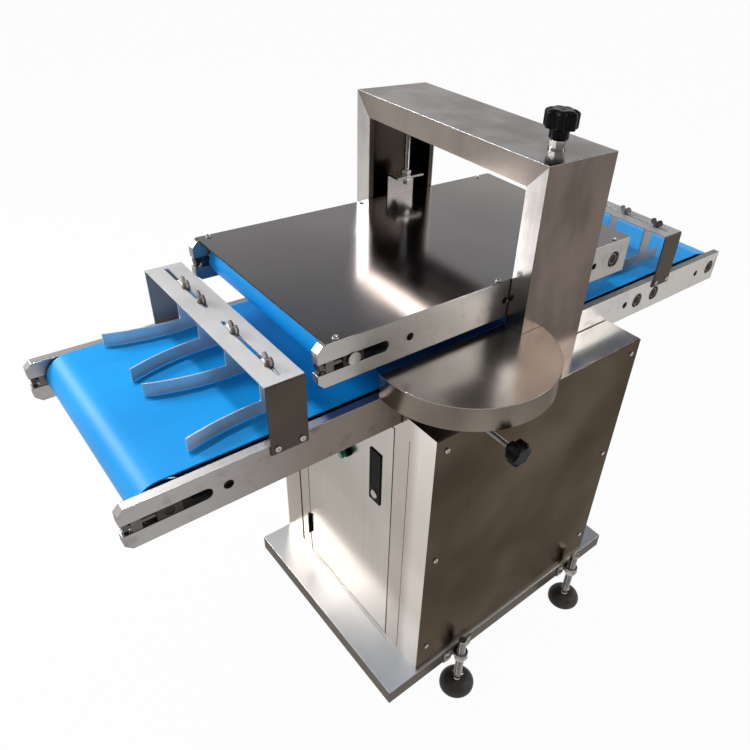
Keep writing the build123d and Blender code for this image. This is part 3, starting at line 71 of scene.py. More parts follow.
@dataclass(frozen=True)
class Wire:
    """A shader socket whose arithmetic adds Math nodes."""

    sheet: "NodeSheet"
    socket: bpy.types.NodeSocket

    def _math(self, operation: str, first: Any, second: Any) -> "Wire":
        """The result of one Math node on two values, each a wire or a number."""
        return self.sheet.node("Math", {0: first, 1: second}, operation=operation)

    def __add__(self, other: Any) -> "Wire":
        """Sum."""
        return self._math("ADD", self, other)

    def __sub__(self, other: Any) -> "Wire":
        """Difference."""
        return self._math("SUBTRACT", self, other)

    def __rsub__(self, other: Any) -> "Wire":
        """Difference, number first."""
        return self._math("SUBTRACT", other, self)

    def __mul__(self, other: Any) -> "Wire":
        """Product."""
        return self._math("MULTIPLY", self, other)

    # Sums and products are the same with the number first.
    __radd__ = __add__
    __rmul__ = __mul__

    def __abs__(self) -> "Wire":
        """Size without the sign."""
        return self.sheet.node("Math", {0: self}, operation="ABSOLUTE")

    def most(self, other: Any) -> "Wire":
        """The larger of two values."""
        return self._math("MAXIMUM", self, other)

    def ramp(self, low: float, high: float, start: float = 0.0, end: float = 1.0) -> "Wire":
        """A smooth step, from the result start where the value is low to end where it is high."""
        sockets = {"Value": self, "From Min": low, "From Max": high, "To Min": start, "To Max": end}
        return self.sheet.node("MapRange", sockets, interpolation_type="SMOOTHSTEP")


class NodeSheet:
    """A node tree with one method that makes any node."""

    def __init__(self, owner: bpy.types.ID) -> None:
        """Empty the owner's tree.

        Args:
            owner: a material or a world.
        """
        self.owner = owner
        owner.use_nodes = True
        self.tree = owner.node_tree
        self.tree.nodes.clear()

    def node(self, kind: str, sockets: dict | None = None, out: Any = 0, **settings: Any) -> Wire:
        """Make a node.

        Args:
            kind: the node's type, without the words that all shader nodes start with.
            sockets: values or wires of its inputs.
            out: the output that is returned.
            settings: its own settings, set first.

        Returns:
            The wire of that output.
        """
        made = self.tree.nodes.new(f"ShaderNode{kind}")
        for key, value in settings.items():
            setattr(made, key, value)
        for key, value in (sockets or {}).items():
            if isinstance(value, Wire):
                self.tree.links.new(value.socket, made.inputs[key])
            else:
                made.inputs[key].default_value = value
        return Wire(self, made.outputs[out] if made.outputs else None)

    def place(self) -> Wire:
        """Object coordinates."""
        return self.node("TexCoord", out="Object")

    def along(self, axis: str) -> Wire:
        """One of the Object coordinates, by its letter."""
        return self.node("SeparateXYZ", {0: self.place()}, out=axis)

    def noise(self, vector: Wire, scale: float, detail: float = 2.0, rough: float = 0.5) -> Wire:
        """Soft noise between about 0.25 and 0.75."""
        sockets = {"Vector": vector, "Scale": scale, "Detail": detail, "Roughness": rough}
        return self.node("TexNoise", sockets)

    def streaks(self, place: Wire, scale: Point, detail: float = 2.0, rough: float = 0.5) -> Wire:
        """Noise with a scale of its own along each axis."""
        drawn = self.node("Mapping", {"Vector": place, "Scale": scale})
        return self.noise(drawn, 1.0, detail, rough)

    def smears(self, place: Wire) -> Wire:
        """Patches where the sheet was handled, one inside them and zero outside."""
        return self.noise(place, 9.0).ramp(0.45, 0.75)

    def seen(self) -> Wire:
        """One for rays of the camera, mirrors and glass, zero for the light on dull surfaces."""
        mirror, glass = (self.node("LightPath", out=f"Is {kind} Ray") for kind in ("Glossy", "Transmission"))
        return self.node("LightPath", out="Is Camera Ray").most(mirror).most(glass)

    def mix(self, factor: Any, first: Any, second: Any) -> Wire:
        """Mix two colours, each a wire or plain values, by the share of the second one."""
        first, second = (c if isinstance(c, Wire) else (*c, 1.0) for c in (first, second))
        return self.node("Mix", {0: factor, 6: first, 7: second}, out=2, data_type="RGBA")

    def bump(self, height: Wire, strength: float, edge: float = 0.0, distance: float = 0.4 * MM) -> Wire:
        """A normal that rounds the piece's own edges, as a bend or a broken edge does, bent by a height.

        Args:
            height: the height.
            strength: share of the bend that shows.
            edge: radius of the rounded edges, or zero to leave them sharp.
            distance: rise from height zero to one.

        Returns:
            The normal.
        """
        sockets = {"Height": height, "Strength": strength, "Distance": distance}
        if edge:
            sockets["Normal"] = self.node("Bevel", {"Radius": edge}, samples=10)
        return self.node("Bump", sockets)

    def surface(self, colour: Wire, rough: Wire, normal: Wire, steady: dict[str, Any]) -> Material:
        """Finish the sheet with the main shader.

        Args:
            colour: its colour.
            rough: its roughness.
            normal: its normal.
            steady: the shader's other inputs, which are the same all over.

        Returns:
            The sheet's owner.
        """
        varied = {"Base Color": colour, "Roughness": rough, "Normal": normal}
        self.node("OutputMaterial", {"Surface": self.node("BsdfPrincipled", {**varied, **steady})})
        return self.owner

    def metal(self, colour: Wire, rough: Wire, normal: Wire, share: float = 1.0) -> Material:
        """Finish the sheet as metal, warm at flat angles too, of which a share is bright and the rest dull."""
        tint = (0.6, 0.57, 0.54, 1.0)
        return self.surface(colour, rough, normal, {"Metallic": share, "Specular Tint": tint})


def dimmed(tone: Colour, share: float) -> Colour:
    """A tone times a share."""
    return tuple(share * value for value in tone)


@dataclass(frozen=True)
class Band:
    """A stretch of a sheet with a tone of its own, such as a rim or a leg painted darker as shade, or a top
    painted lighter as light.
    """

    axis: str
    start: float
    end: float
    tone: Colour
    dim: float = 0.7
    mirrored: bool = True

    def laid(self, sheet: NodeSheet, colour: Wire, cloud: Wire) -> Wire:
        """Lay the band over a colour, with a smooth step from start to end of the distance along the axis.

        Args:
            sheet: the sheet that it is laid on.
            colour: the colour below.
            cloud: the share of the full tone, against a dimmed one.

        Returns:
            The colour with the band.
        """
        place = sheet.along(self.axis)
        share = (abs(place) if self.mirrored else place).ramp(self.start, self.end)
        return sheet.mix(share, colour, sheet.mix(cloud, dimmed(self.tone, self.dim), self.tone))


@dataclass(frozen=True)
class Finish:
    """A finish, by the name of its material."""

    name: str

    def begin(self) -> tuple[NodeSheet, Wire]:
        """A new material's node sheet, and its Object coordinates."""
        sheet = NodeSheet(bpy.data.materials.new(self.name))
        return sheet, sheet.place()

    def make(self) -> Material:
        """Make the material, by the rule of the finish's own class."""
        raise NotImplementedError


@dataclass(frozen=True)
class BrushedSheet(Finish):
    """Stainless sheet with brushed streaks, soft clouds of tone, handling smears and bright bends."""

    light: Colour
    dark: Colour
    grain: Grain
    rough: float = 0.15
    cloud_scale: float = 2.6
    edge: float = 1.2 * MM
    metallic: float = 1.0
    bands: tuple[Band, ...] = ()

    def make(self) -> Material:
        """Streak noise drives roughness and bump, cloud noise the tone, smears add roughness.

        Returns:
            The material.
        """
        sheet, place = self.begin()
        streak = sheet.streaks(place, self.grain.value)
        cloud = sheet.noise(place, self.cloud_scale)
        tone = (cloud * 0.92 + streak * 0.08).ramp(0.28, 0.72)
        colour = sheet.mix(tone, self.dark, self.light)
        for band in self.bands:
            colour = band.laid(sheet, colour, tone)
        rough = (streak - 0.5) * 0.025 + sheet.smears(place) * 0.03 + self.rough
        return sheet.metal(colour, rough, sheet.bump(streak, 0.004, self.edge), self.metallic)


@dataclass(frozen=True)
class MitredSheet(Finish):
    """Stainless box sections mitred at the corners: the beam brushed along X, the legs along Z."""

    # Tones of one stainless: legs painted lighter and beam darker as light and shade, the legs' outer faces
    # (cheeks) and hollows painted darker as shade, the beam's top (crown) painted lighter as light from above.
    beam_tone: Colour
    leg_tone: Colour
    shaded_hollow_tone: Colour
    shaded_cheek_tone: Colour
    lit_crown_tone: Colour
    inner: float
    outer: float
    soffit: float
    top: float
    front: float
    back: float
    rough: float

    def make(self) -> Material:
        """The mitre is the line from the window's corner to the outer corner, with a dull ground weld on it.

        A point's height over that line parts the beam's streaks and tone from the legs', and the weld shows
        within a millimetre of it. The beam's tone is painted darker and the legs' lighter, as shade and light
        that fall on them; the legs' outer faces are painted darker as shade and the beam's top lighter as light
        from above. Points of a leg that lie behind its sheets, in its hollow, are painted dark as shade.

        Returns:
            The material.
        """
        sheet, place = self.begin()
        slope = (self.top - self.soffit) / (self.outer - self.inner)
        over = sheet.along("Z") - (abs(sheet.along("X")) - self.inner) * slope - self.soffit
        beam = over.ramp(-0.3 * MM, 0.3 * MM)
        weld = abs(over).ramp(0.5 * MM, 1.6 * MM, 1.0, 0.0)
        upright, level = (sheet.streaks(place, grain.value) for grain in (Grain.ALONG_Z, Grain.ALONG_X))
        streak = upright + (level - upright) * beam
        cloud = sheet.streaks(place, (9.0, 9.0, 5.0), 3.0, 0.55)
        tone = (cloud * 0.9 + streak * 0.1).ramp(0.36, 0.64)
        light = sheet.mix(beam, self.leg_tone, self.beam_tone)
        dark = sheet.mix(beam, dimmed(self.leg_tone, 0.72), dimmed(self.beam_tone, 0.72))
        colour = sheet.mix(tone, dark, light)
        # Painted shade on the legs' outer faces and painted light on the beam's top.
        for axis, face, own in (("X", self.outer, self.shaded_cheek_tone), ("Z", self.top, self.lit_crown_tone)):
            colour = Band(axis, face - 0.9 * MM, face - 0.3 * MM, own).laid(sheet, colour, tone)
        # Painted shade in the legs' hollows, behind their sheets.
        depth = (self.back - self.front) / 2
        behind = abs(sheet.along("Y") - (self.front + depth))
        behind = behind.ramp(depth - 1.6 * MM, depth - 1.0 * MM, 1.0, 0.0)
        within = abs(sheet.along("X")).ramp(self.outer - 1.0 * MM, self.outer - 0.5 * MM, 1.0, 0.0)
        colour = sheet.mix(behind * within * (1.0 - beam), colour, self.shaded_hollow_tone)
        colour = sheet.mix(weld * 0.6, colour, dimmed(self.beam_tone, 0.35))
        worn = (streak - 0.5) * 0.03 + sheet.smears(place) * 0.04 + weld * 0.15
        rough = worn + (self.rough - 0.05 * beam)
        return sheet.metal(colour, rough, sheet.bump(streak - weld * 3.0, 0.005, 0.9 * MM))


@dataclass(frozen=True)
class SatinAlloy(Finish):
    """Milled aluminium with fine cutter lines along the bar and a few dull scuffs."""

    light: Colour
    dark: Colour
    rough: float
    bands: tuple[Band, ...] = ()

    def make(self) -> Material:
        """Lines along Y drive roughness and bump, scuffs darken the tone.

        Returns:
            The material.
        """
        sheet, place = self.begin()
        lines = sheet.streaks(place, Grain.ALONG_Y.value, 3.0, 0.55)
        scuff = sheet.noise(place, 26.0, 4.0, 0.65).ramp(0.5, 0.8)
        tone = ((1.0 - scuff * 0.55) * (lines * 0.4 + 0.75)).ramp(0.3, 1.1)
        colour = sheet.mix(tone, self.dark, self.light)
        for band in self.bands:
            colour = band.laid(sheet, colour, tone)
        rough = (lines - 0.5) * 0.12 + scuff * 0.08 + self.rough
        return sheet.metal(colour, rough, sheet.bump(lines, 0.01, 1.5 * MM))


@dataclass(frozen=True)
class BeltCoat(Finish):
    """Satin blue conveyor belting with a fine pebble, faint travel streaks and flour dust."""

    blue: Colour
    deep: Colour
    flour: Colour = (0.55, 0.72, 0.92)
    rough: float = 0.42
    gloss: float = 0.18

    def make(self) -> Material:
        """Clouds shift the blue, streaks along the travel change the sheen, pebble gives the bump.

        Returns:
            The material.
        """
        sheet, place = self.begin()
        cloud = sheet.noise(place, 5.0, 3.0, 0.55)
        travel = sheet.streaks(place, (90.0, 2.0, 90.0), 3.0, 0.6)
        pebble = sheet.noise(place, 1400.0, 1.0)
        dust = (sheet.noise(place, 11.0, 5.0, 0.7).ramp(0.58, 0.8) * travel) * 0.1
        colour = sheet.mix((cloud * 0.75 + travel * 0.25).ramp(0.3, 0.62), self.deep, self.blue)
        colour = sheet.mix(dust, colour, self.flour)
        rough = (travel - 0.5) * 0.05 + dust * 0.3 + self.rough
        normal = sheet.bump(pebble, 0.05, 0.8 * MM)
        return sheet.surface(colour, rough, normal, {"Specular IOR Level": self.gloss})


@dataclass(frozen=True)
class Moulding(Finish):
    """Moulded plastic with a faint flow pattern, fine grain and worn high spots."""

    colour: Colour
    worn: Colour
    rough: float
    grain: float = 260.0
    coat: float = 0.0
    gloss: float = 0.3
    ior: float = 1.5

    def make(self) -> Material:
        """Flow noise mixes the worn colour in, fine noise gives grain and roughness.

        Returns:
            The material.
        """
        sheet, place = self.begin()
        flow = sheet.noise(place, 42.0, 4.0, 0.6)
        fine = sheet.noise(place, self.grain)
        colour = sheet.mix(flow.ramp(0.42, 0.75, 0.0, 0.6), self.colour, self.worn)
        rough = (fine - 0.5) * 0.16 + (flow - 0.5) * 0.14 + self.rough
        normal = sheet.bump(fine, 0.1, 0.6 * MM, 0.5 * MM)
        coat = {"Coat Weight": self.coat, "Coat Roughness": 0.12}
        return sheet.surface(colour, rough, normal, {**coat, "Specular IOR Level": self.gloss, "IOR": self.ior})


@dataclass(frozen=True)
class TurnedSteel(Finish):
    """Plated or turned steel with fine turning rings and slightly tarnished spots."""

    light: Colour
    dark: Colour
    rough: float = 0.2
    bands: tuple[Band, ...] = ()

    def make(self) -> Material:
        """Fine noise gives the rings' sparkle, broad noise the tarnish.

        Returns:
            The material.
        """
        sheet, place = self.begin()
        fine = sheet.noise(place, 900.0)
        spot = sheet.noise(place, 60.0, 4.0, 0.65).ramp(0.5, 0.75)
        colour = sheet.mix(spot * 0.7 + fine * 0.2, self.light, self.dark)
        for band in self.bands:
            colour = band.laid(sheet, colour, fine)
        rough = spot * 0.16 + (fine - 0.5) * 0.12 + self.rough
        return sheet.metal(colour, rough, sheet.bump(fine, 0.05, 0.5 * MM, 0.3 * MM))


@dataclass(frozen=True)
class GroundDisc(Finish):
    """Knife steel ground in rings round the spindle."""

    centre: Point
    light: Colour
    dark: Colour
    rings_per_metre: float = 1500.0

    def make(self) -> Material:
        """Distance from the spindle drives the rings of the grinding wheel.

        Returns:
            The material.
        """
        sheet, place = self.begin()
        flat = sheet.node("Mapping", {"Vector": place, "Location": dimmed(self.centre, -1.0)})
        flat = sheet.node("VectorMath", {0: flat, 1: (1.0, 1.0, 0.0)}, operation="MULTIPLY")
        away = sheet.node("VectorMath", {0: flat}, out="Value", operation="LENGTH")
        point = sheet.node("CombineXYZ", {"X": away * self.rings_per_metre})
        ring = sheet.noise(point, 1.0, 3.0, 0.6)
        stain = sheet.noise(place, 14.0, 3.0, 0.55)
        colour = sheet.mix((ring * 0.5 + stain * 0.5).ramp(0.3, 0.7), self.dark, self.light)
        return sheet.metal(colour, (ring - 0.5) * 0.2 + 0.2, sheet.bump(ring, 0.08))


@dataclass
class Shell:
    """Points of one closed surface, its faces with four corners and those with three."""

    points: np.ndarray
    quads: np.ndarray
    fans: np.ndarray


def angles(count: int) -> np.ndarray:
    """Even angles round a circle, from zero."""
    return 2.0 * np.pi * np.arange(count) / count


def turned(
    radius: np.ndarray, height: np.ndarray, origin: Point, axis: Axis, closed_ring: bool = False
) -> Shell:
    """A closed surface of rings round an axis.

    Ring i has the radius radius[i, j] and the height height[i, j] at the angle 2 pi j / count. The first
    and last rings are closed by a fan to a point on the axis, or joined to each other for a closed ring.

    Args:
        radius: radii by ring and angle.
        height: heights by ring and angle, or by ring alone.
        origin: the point that heights start from.
        axis: the axis's direction.
        closed_ring: join the last ring to the first, with no fans.

    Returns:
        The surface, facing outwards.
    """
    radius, height = np.broadcast_arrays(radius, height)
    rings, count = radius.shape
    along, zero = (np.array(v) for v in axis.value)
    angle = angles(count)[:, None]
    flat = np.cos(angle) * zero + np.sin(angle) * np.cross(along, zero)
    points = np.array(origin) + radius[..., None] * flat + height[..., None] * along
    points = points.reshape(-1, 3)
    i, j = np.indices((rings if closed_ring else rings - 1, count)).reshape(2, -1)
    this, after, beside = i * count, (i + 1) % rings * count, (j + 1) % count
    quads = np.stack((this + j, this + beside, after + beside, after + j), axis=1)
    if closed_ring:
        return Shell(points, quads, np.empty((0, 3), dtype=int))
    ends = np.array(origin) + height[[0, -1]].mean(axis=1)[:, None] * along
    ring, last = np.arange(count), (rings - 1) * count
    beside = (ring + 1) % count
    first_fan = np.stack((np.full(count, len(points)), beside, ring), axis=1)
    last_fan = np.stack((np.full(count, len(points) + 1), last + ring, last + beside), axis=1)
    return Shell(np.vstack((points, ends)), quads, np.vstack((first_fan, last_fan)))


@dataclass(frozen=True)
class Nut:
    """An upright hexagon nut, by its width across the flats and its length."""

    flats: float
    length: float
    columns: int = 72

    def shell(self, foot: Point) -> Shell:
        """A hexagon whose corners are turned off by a 30 degree cone at both ends.

        The hexagon's radius is half its width over the cosine of the turn off a flat.

        Args:
            foot: centre of its lower face.

        Returns:
            The nut's surface.
        """
        side = np.pi / 3
        turn = (angles(self.columns) + side / 2) % side - side / 2
        hexagon = self.flats / 2 / np.cos(turn)
        face = np.full(self.columns, self.flats * 0.47)
        drop = (hexagon - face) * math.tan(math.radians(30.0))
        height = np.stack((0.0 * drop, drop, self.length - drop, 0.0 * drop + self.length))
        return turned(np.stack((face, hexagon, hexagon, face)), height, foot, Axis.UP)


@dataclass(frozen=True)
class Thread:
    """A right-hand thread: radius at the crest, depth, rise in one turn, and threads side by side."""

    radius: float
    depth: float
    lead: float
    starts: int = 1
    columns: int = 24
    rows_per_pitch: int = 7

    def bar(self, length: float, foot: Point, axis: Axis) -> Shell:
        """A threaded bar with chamfered ends.

        The radius falls from the crest by a flattened triangle wave of starts times (height / lead - turn),
        which is a helix, and the wave fades into a plain cone over the last pitch at each end.

        Args:
            length: length of the bar.
            foot: centre of its lower end.
            axis: its axis.

        Returns:
            The bar's surface.
        """
        pitch = self.lead / self.starts
        height = np.linspace(0.0, length, int(length / pitch * self.rows_per_pitch) + 2)[:, None]
        turn = np.arange(self.columns) / self.columns
        phase = (self.starts * (height / self.lead - turn)) % 1.0
        wave = np.clip(1.25 - 3.0 * np.abs(phase - 0.5), 0.0, 1.0)
        taper = np.clip(np.minimum(height, length - height) / pitch, 0.0, 1.0)
        return turned(self.radius - self.depth + self.depth * wave * taper, height, foot, axis)


@dataclass(frozen=True)
class StarGrip:
    """A round hub that opens into a lobed head with a rounded rim."""

    hub: float
    hub_length: float
    length: float
    core: float
    reach: float
    lobe: float
    lobes: int
    crown: tuple[Pair, ...]
    early: float
    step: float
    rows: int
    columns: int
    window: int = 5

    def profile(self) -> np.ndarray:
        """The way up the hub, out to the rim and over the crown, with rounded corners.

        The crown's corners are given as a share of the reach and a depth below the top. The outline is
        sampled at even steps of its length, then averaged over a short window, which rounds each corner by
        about the window's length. Its two ends stay where they are.

        Returns:
            Reach and height of each ring.
        """
        outline = [(0.0, 0.0), (self.hub, 0.0), (self.hub, self.hub_length), (self.reach, self.hub_length)]
        outline += [(share * self.reach, self.length - drop) for share, drop in self.crown]
        corner = np.array(outline)
        length = np.append(0.0, np.cumsum(np.linalg.norm(np.diff(corner, axis=0), axis=1)))
        at = np.linspace(0.0, length[-1], self.rows)
        sampled = np.stack([np.interp(at, length, row) for row in corner.T])
        half = self.window // 2
        padded = np.pad(sampled, ((0, 0), (half, half)), "reflect", reflect_type="odd")
        mean = np.ones(self.window) / self.window
        return np.maximum([np.convolve(row, mean, "valid") for row in padded], 0.0)

    def star(self) -> np.ndarray:
        """The head's outline: in each direction the larger of a core circle and a ring of lobe circles.

        The two radii are joined by a soft maximum, so that the valleys are rounded.

        Returns:
            The radius in each direction, as a share of the reach.
        """
        step = 2.0 * np.pi / self.lobes
        turn = (angles(self.columns) + step / 2) % step - step / 2
        middle = self.reach - self.lobe
        inside = np.maximum(self.lobe**2 - (middle * np.sin(turn)) ** 2, 0.0)
        bulge = np.where(inside > 0.0, middle * np.cos(turn) + np.sqrt(inside), 0.0)
        sharp = 2500.0
        return np.logaddexp(sharp * bulge, sharp * self.core) / sharp / self.reach

    def shell(self, foot: Point, axis: Axis) -> Shell:
        """Rings along the profile, round below the head and of the star's outline in the head.

        A smooth step leads from one to the other, both up the hub and out from it.

        Args:
            foot: centre of the hub's foot.
            axis: the way that the head faces.

        Returns:
            The grip's surface.
        """
        reach, height = self.profile()[:, 1:-1, None]
        up = np.clip((height - self.hub_length + self.early) / self.step, 0.0, 1.0)
        head = up * np.clip((reach / self.reach - 0.4) / 0.3, 0.0, 1.0)
        return turned(reach * (1.0 - head + head * self.star()), height, foot, axis)


def linked(name: str, data: bpy.types.ID) -> bpy.types.Object:
    """Add an object to the scene.

    Args:
        name: its name.
        data: the mesh, lamp or camera that it holds.

    Returns:
        The object.
    """
    made = bpy.data.objects.new(name, data)
    bpy.context.scene.collection.objects.link(made)
    return made


def put(
    name: str, shells: Sequence[Shell], body: str, material: Material,
    nodes: Sequence[str], smooth_below: float = 40.0,
) -> None:
    """Make a piece of the object from its surfaces.

    Args:
        name: the piece's name.
        shells: its closed surfaces.
        body: the body that it moves with.
        material: its finish.
        nodes: the solids that it stands for.
        smooth_below: edges flatter than this angle in degrees are shaded smooth.
    """
    starts = np.cumsum([0] + [len(shell.points) for shell in shells])
    points = np.vstack([shell.points for shell in shells])
    faces = []
    for shell, start in zip(shells, starts):
        faces += (shell.quads + start).tolist() + (shell.fans + start).tolist()
    mesh = bpy.data.meshes.new(name)
    mesh.from_pydata(points.tolist(), [], faces)
    mesh.polygons.foreach_set("use_smooth", np.ones(len(mesh.polygons), dtype=bool))
    mesh.set_sharp_from_angle(angle=math.radians(smooth_below))
    mesh.materials.append(material)
    mesh.update()
    piece = linked(name, mesh)
    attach(piece, body)
    if nodes:
        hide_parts(*nodes)
    log.info("%s: %d faces on %s for %s", name, len(faces), body, ", ".join(nodes) or "no solid")


def dress(material: Material, *nodes: str) -> None:
    """Give solids a finish.

    Args:
        material: the finish.
        nodes: names of the solids.
    """
    for name in nodes:
        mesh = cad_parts[name].data
        if not mesh.materials:
            mesh.materials.append(material)
        for index in range(len(mesh.materials)):
            mesh.materials[index] = material
        log.info("%s: finish %s", name, material.name)


def made(finish: Finish) -> Any:
    """A field whose value is the finish's material, made when its holder is."""
    return field(default_factory=finish.make)


@dataclass
class Finishes:
    """Finishes that several sub-assemblies share, made once."""

    bright_steel: Material = made(TurnedSteel("bright_plated_steel", (0.46, 0.45, 0.43), (0.22, 0.205, 0.19)))
    # Bright rollers whose journals and drum ends, where they sit in the rails, are painted dark as shade.
    turned_alloy: Material = made(TurnedSteel(
        "turned_roller_metal", (0.3, 0.29, 0.28), (0.16, 0.155, 0.15), 0.3,
        bands=(Band("X", 187.5 * MM, 189.0 * MM, (0.035, 0.032, 0.03)),),
    ))
    # Rails painted with light and shade: a dark tone as painted shade on their sides, lighter at both ends and
    # lighter still to the rear as painted light, and a painted highlight on top.
    rail_alloy: Material = made(SatinAlloy(
        "satin_rail_alloy", (0.21, 0.176, 0.152), (0.12, 0.096, 0.08), 0.36,
        bands=(
            Band("Y", 0.42, 0.7, (0.36, 0.345, 0.335)),
            Band("Y", 0.05, 0.2, (0.6, 0.58, 0.56), mirrored=False),
            Band("Z", 874.2 * MM, 874.8 * MM, (0.5, 0.49, 0.48)),
        ),
    ))
    plate_alloy: Material = made(
        SatinAlloy("satin_plate_alloy", (0.41, 0.396, 0.378), (0.3, 0.286, 0.272), 0.34)
    )
    belt: Material = made(BeltCoat("blue_belting", (0.003, 0.31, 0.76), (0.002, 0.27, 0.69)))
    knob: Material = made(
        Moulding("gloss_black_grip", (0.003, 0.003, 0.004), (0.008, 0.008, 0.008), 0.26, ior=1.22)
    )
    satin_black: Material = made(
        Moulding("satin_black_fitting", (0.003, 0.003, 0.003), (0.009, 0.008, 0.008), 0.4, ior=1.15)
    )
    bearing_steel: Material = made(
        TurnedSteel("oiled_bearing_steel", (0.25, 0.24, 0.23), (0.1, 0.095, 0.09), 0.28)
    )
    # Steel painted nearly black as shade, so that the cross bars' ends read as dark holes in the rails.
    shade_dark_steel: Material = made(
        TurnedSteel("steel_painted_dark_as_shade", (0.03, 0.029, 0.028), (0.012, 0.012, 0.012), 0.4)
    )
    pad: Material = made(
        Moulding("black_nylon_pad", (0.05, 0.043, 0.038), (0.11, 0.096, 0.085), 0.48, grain=420.0)
    )


@dataclass
class Conveyors:
    """Lower and upper conveyor: rails, belts, rollers and their bearings."""

    finishes: Finishes
    bearing_outer: float = 17.95 * MM
    bearing_inner: float = 10.1 * MM
    bearing_width: float = 12.0 * MM
    bearing_columns: int = 40
    # Two raised races with a sunk shield between them, and a rubber seal that stands just above the shield.
    race_profile: Sequence[Pair] = (
        (0.0, 0.6), (0.0, 0.0), (0.22, 0.0), (0.25, 0.8), (0.32, 1.0),
        (0.68, 1.0), (0.75, 0.8), (0.78, 0.0), (1.0, 0.0), (1.0, 0.6),
    )
    seal_profile: Sequence[Pair] = ((0.26, 0.4), (0.5, 0.2), (0.74, 0.4))
    lower_seats: Sequence[Pair] = ((0.719, 0.839), (0.407, 0.8355), (0.474, 0.8355))
    lower_starts: Sequence[float] = (0.195, -0.207)
    upper_seat: Pair = (0.260, 0.9785)
    upper_starts: Sequence[float] = (0.199, -0.211)
    screw_ends: Sequence[tuple[str, float]] = (("lower_take_ups", 0.7015), ("upper_take_ups", 0.4005))

    def ring(self, seat: Point, profile: Sequence[Pair]) -> Shell:
        """A closed ring of a bearing, the same on both faces, turned round the bearing's axis.

        Args:
            seat: centre of the bearing's left face.
            profile: shares of the way from the bore to the rim, and depths in mm below the face.

        Returns:
            The ring's surface.
        """
        share, depth = np.array(profile).T
        radius = self.bearing_inner + (self.bearing_outer - self.bearing_inner) * np.append(share, share[::-1])
        height = np.append(depth * MM, self.bearing_width - depth[::-1] * MM)
        radius = radius[:, None] + np.zeros(self.bearing_columns)
        return turned(radius, height[:, None], seat, Axis.RIGHT, True)

    def build(self) -> None:
        """Make the bearings and dress the solids."""
        kit = self.finishes
        lower = [(x, y, z) for x in self.lower_starts for y, z in self.lower_seats]
        upper = [(x, *self.upper_seat) for x in self.upper_starts]
        for level, body, seats in (("lower", "frame", lower), ("upper", "upper_conveyor", upper)):
            races = [self.ring(seat, self.race_profile) for seat in seats]
            seals = [self.ring(seat, self.seal_profile) for seat in seats]
            put(f"{level}_bearing_races", races, body, kit.bearing_steel, [f"{level}_bearings"])
            put(f"{level}_bearing_seals", seals, body, kit.satin_black, [])
        dress(kit.rail_alloy, "lower_rail_left", "lower_rail_right")
        dress(kit.plate_alloy, "upper_plate_left", "upper_plate_right")
        dress(kit.belt, "lower_belt", "upper_belt")
        dress(kit.turned_alloy, "lower_drive_roller", "lower_tail_roller", "front_return_roller")
        dress(kit.turned_alloy, "rear_return_roller", "upper_drive_roller")
        dress(kit.bright_steel, "upper_tail_roller")
        # Cross bars in steel painted dark as shade.
        dress(kit.shade_dark_steel, "lower_cross_bars", "upper_cross_bars")
        # Take-up blocks painted dark as shade in the rails' slots; their screws lighter, with less painted
        # shade.
        for name, start in self.screw_ends:
            screws = Band("Y", start, start + 1.0 * MM, (0.17, 0.162, 0.155), 0.35)
            tones = (0.05, 0.047, 0.044), (0.02, 0.019, 0.018)
            dress(TurnedSteel(f"{name}_steel", *tones, 0.28, (screws,)).make(), name)
        bed = BrushedSheet("bed_sheet", (0.6, 0.58, 0.55), (0.45, 0.43, 0.4), Grain.ALONG_Y)
        dress(bed.make(), "lower_bed", "upper_bed")
        # The cover's end lips are painted dark as shade.
        lip = Band("Y", 431.2 * MM, 431.8 * MM, (0.06, 0.055, 0.055))
        tones = (0.46, 0.45, 0.46), (0.37, 0.36, 0.37)
        cover = BrushedSheet("cover_sheet", *tones, Grain.ALONG_X, 0.135, edge=0.4 * MM, bands=(lip,))
        dress(cover.make(), "upper_cover")


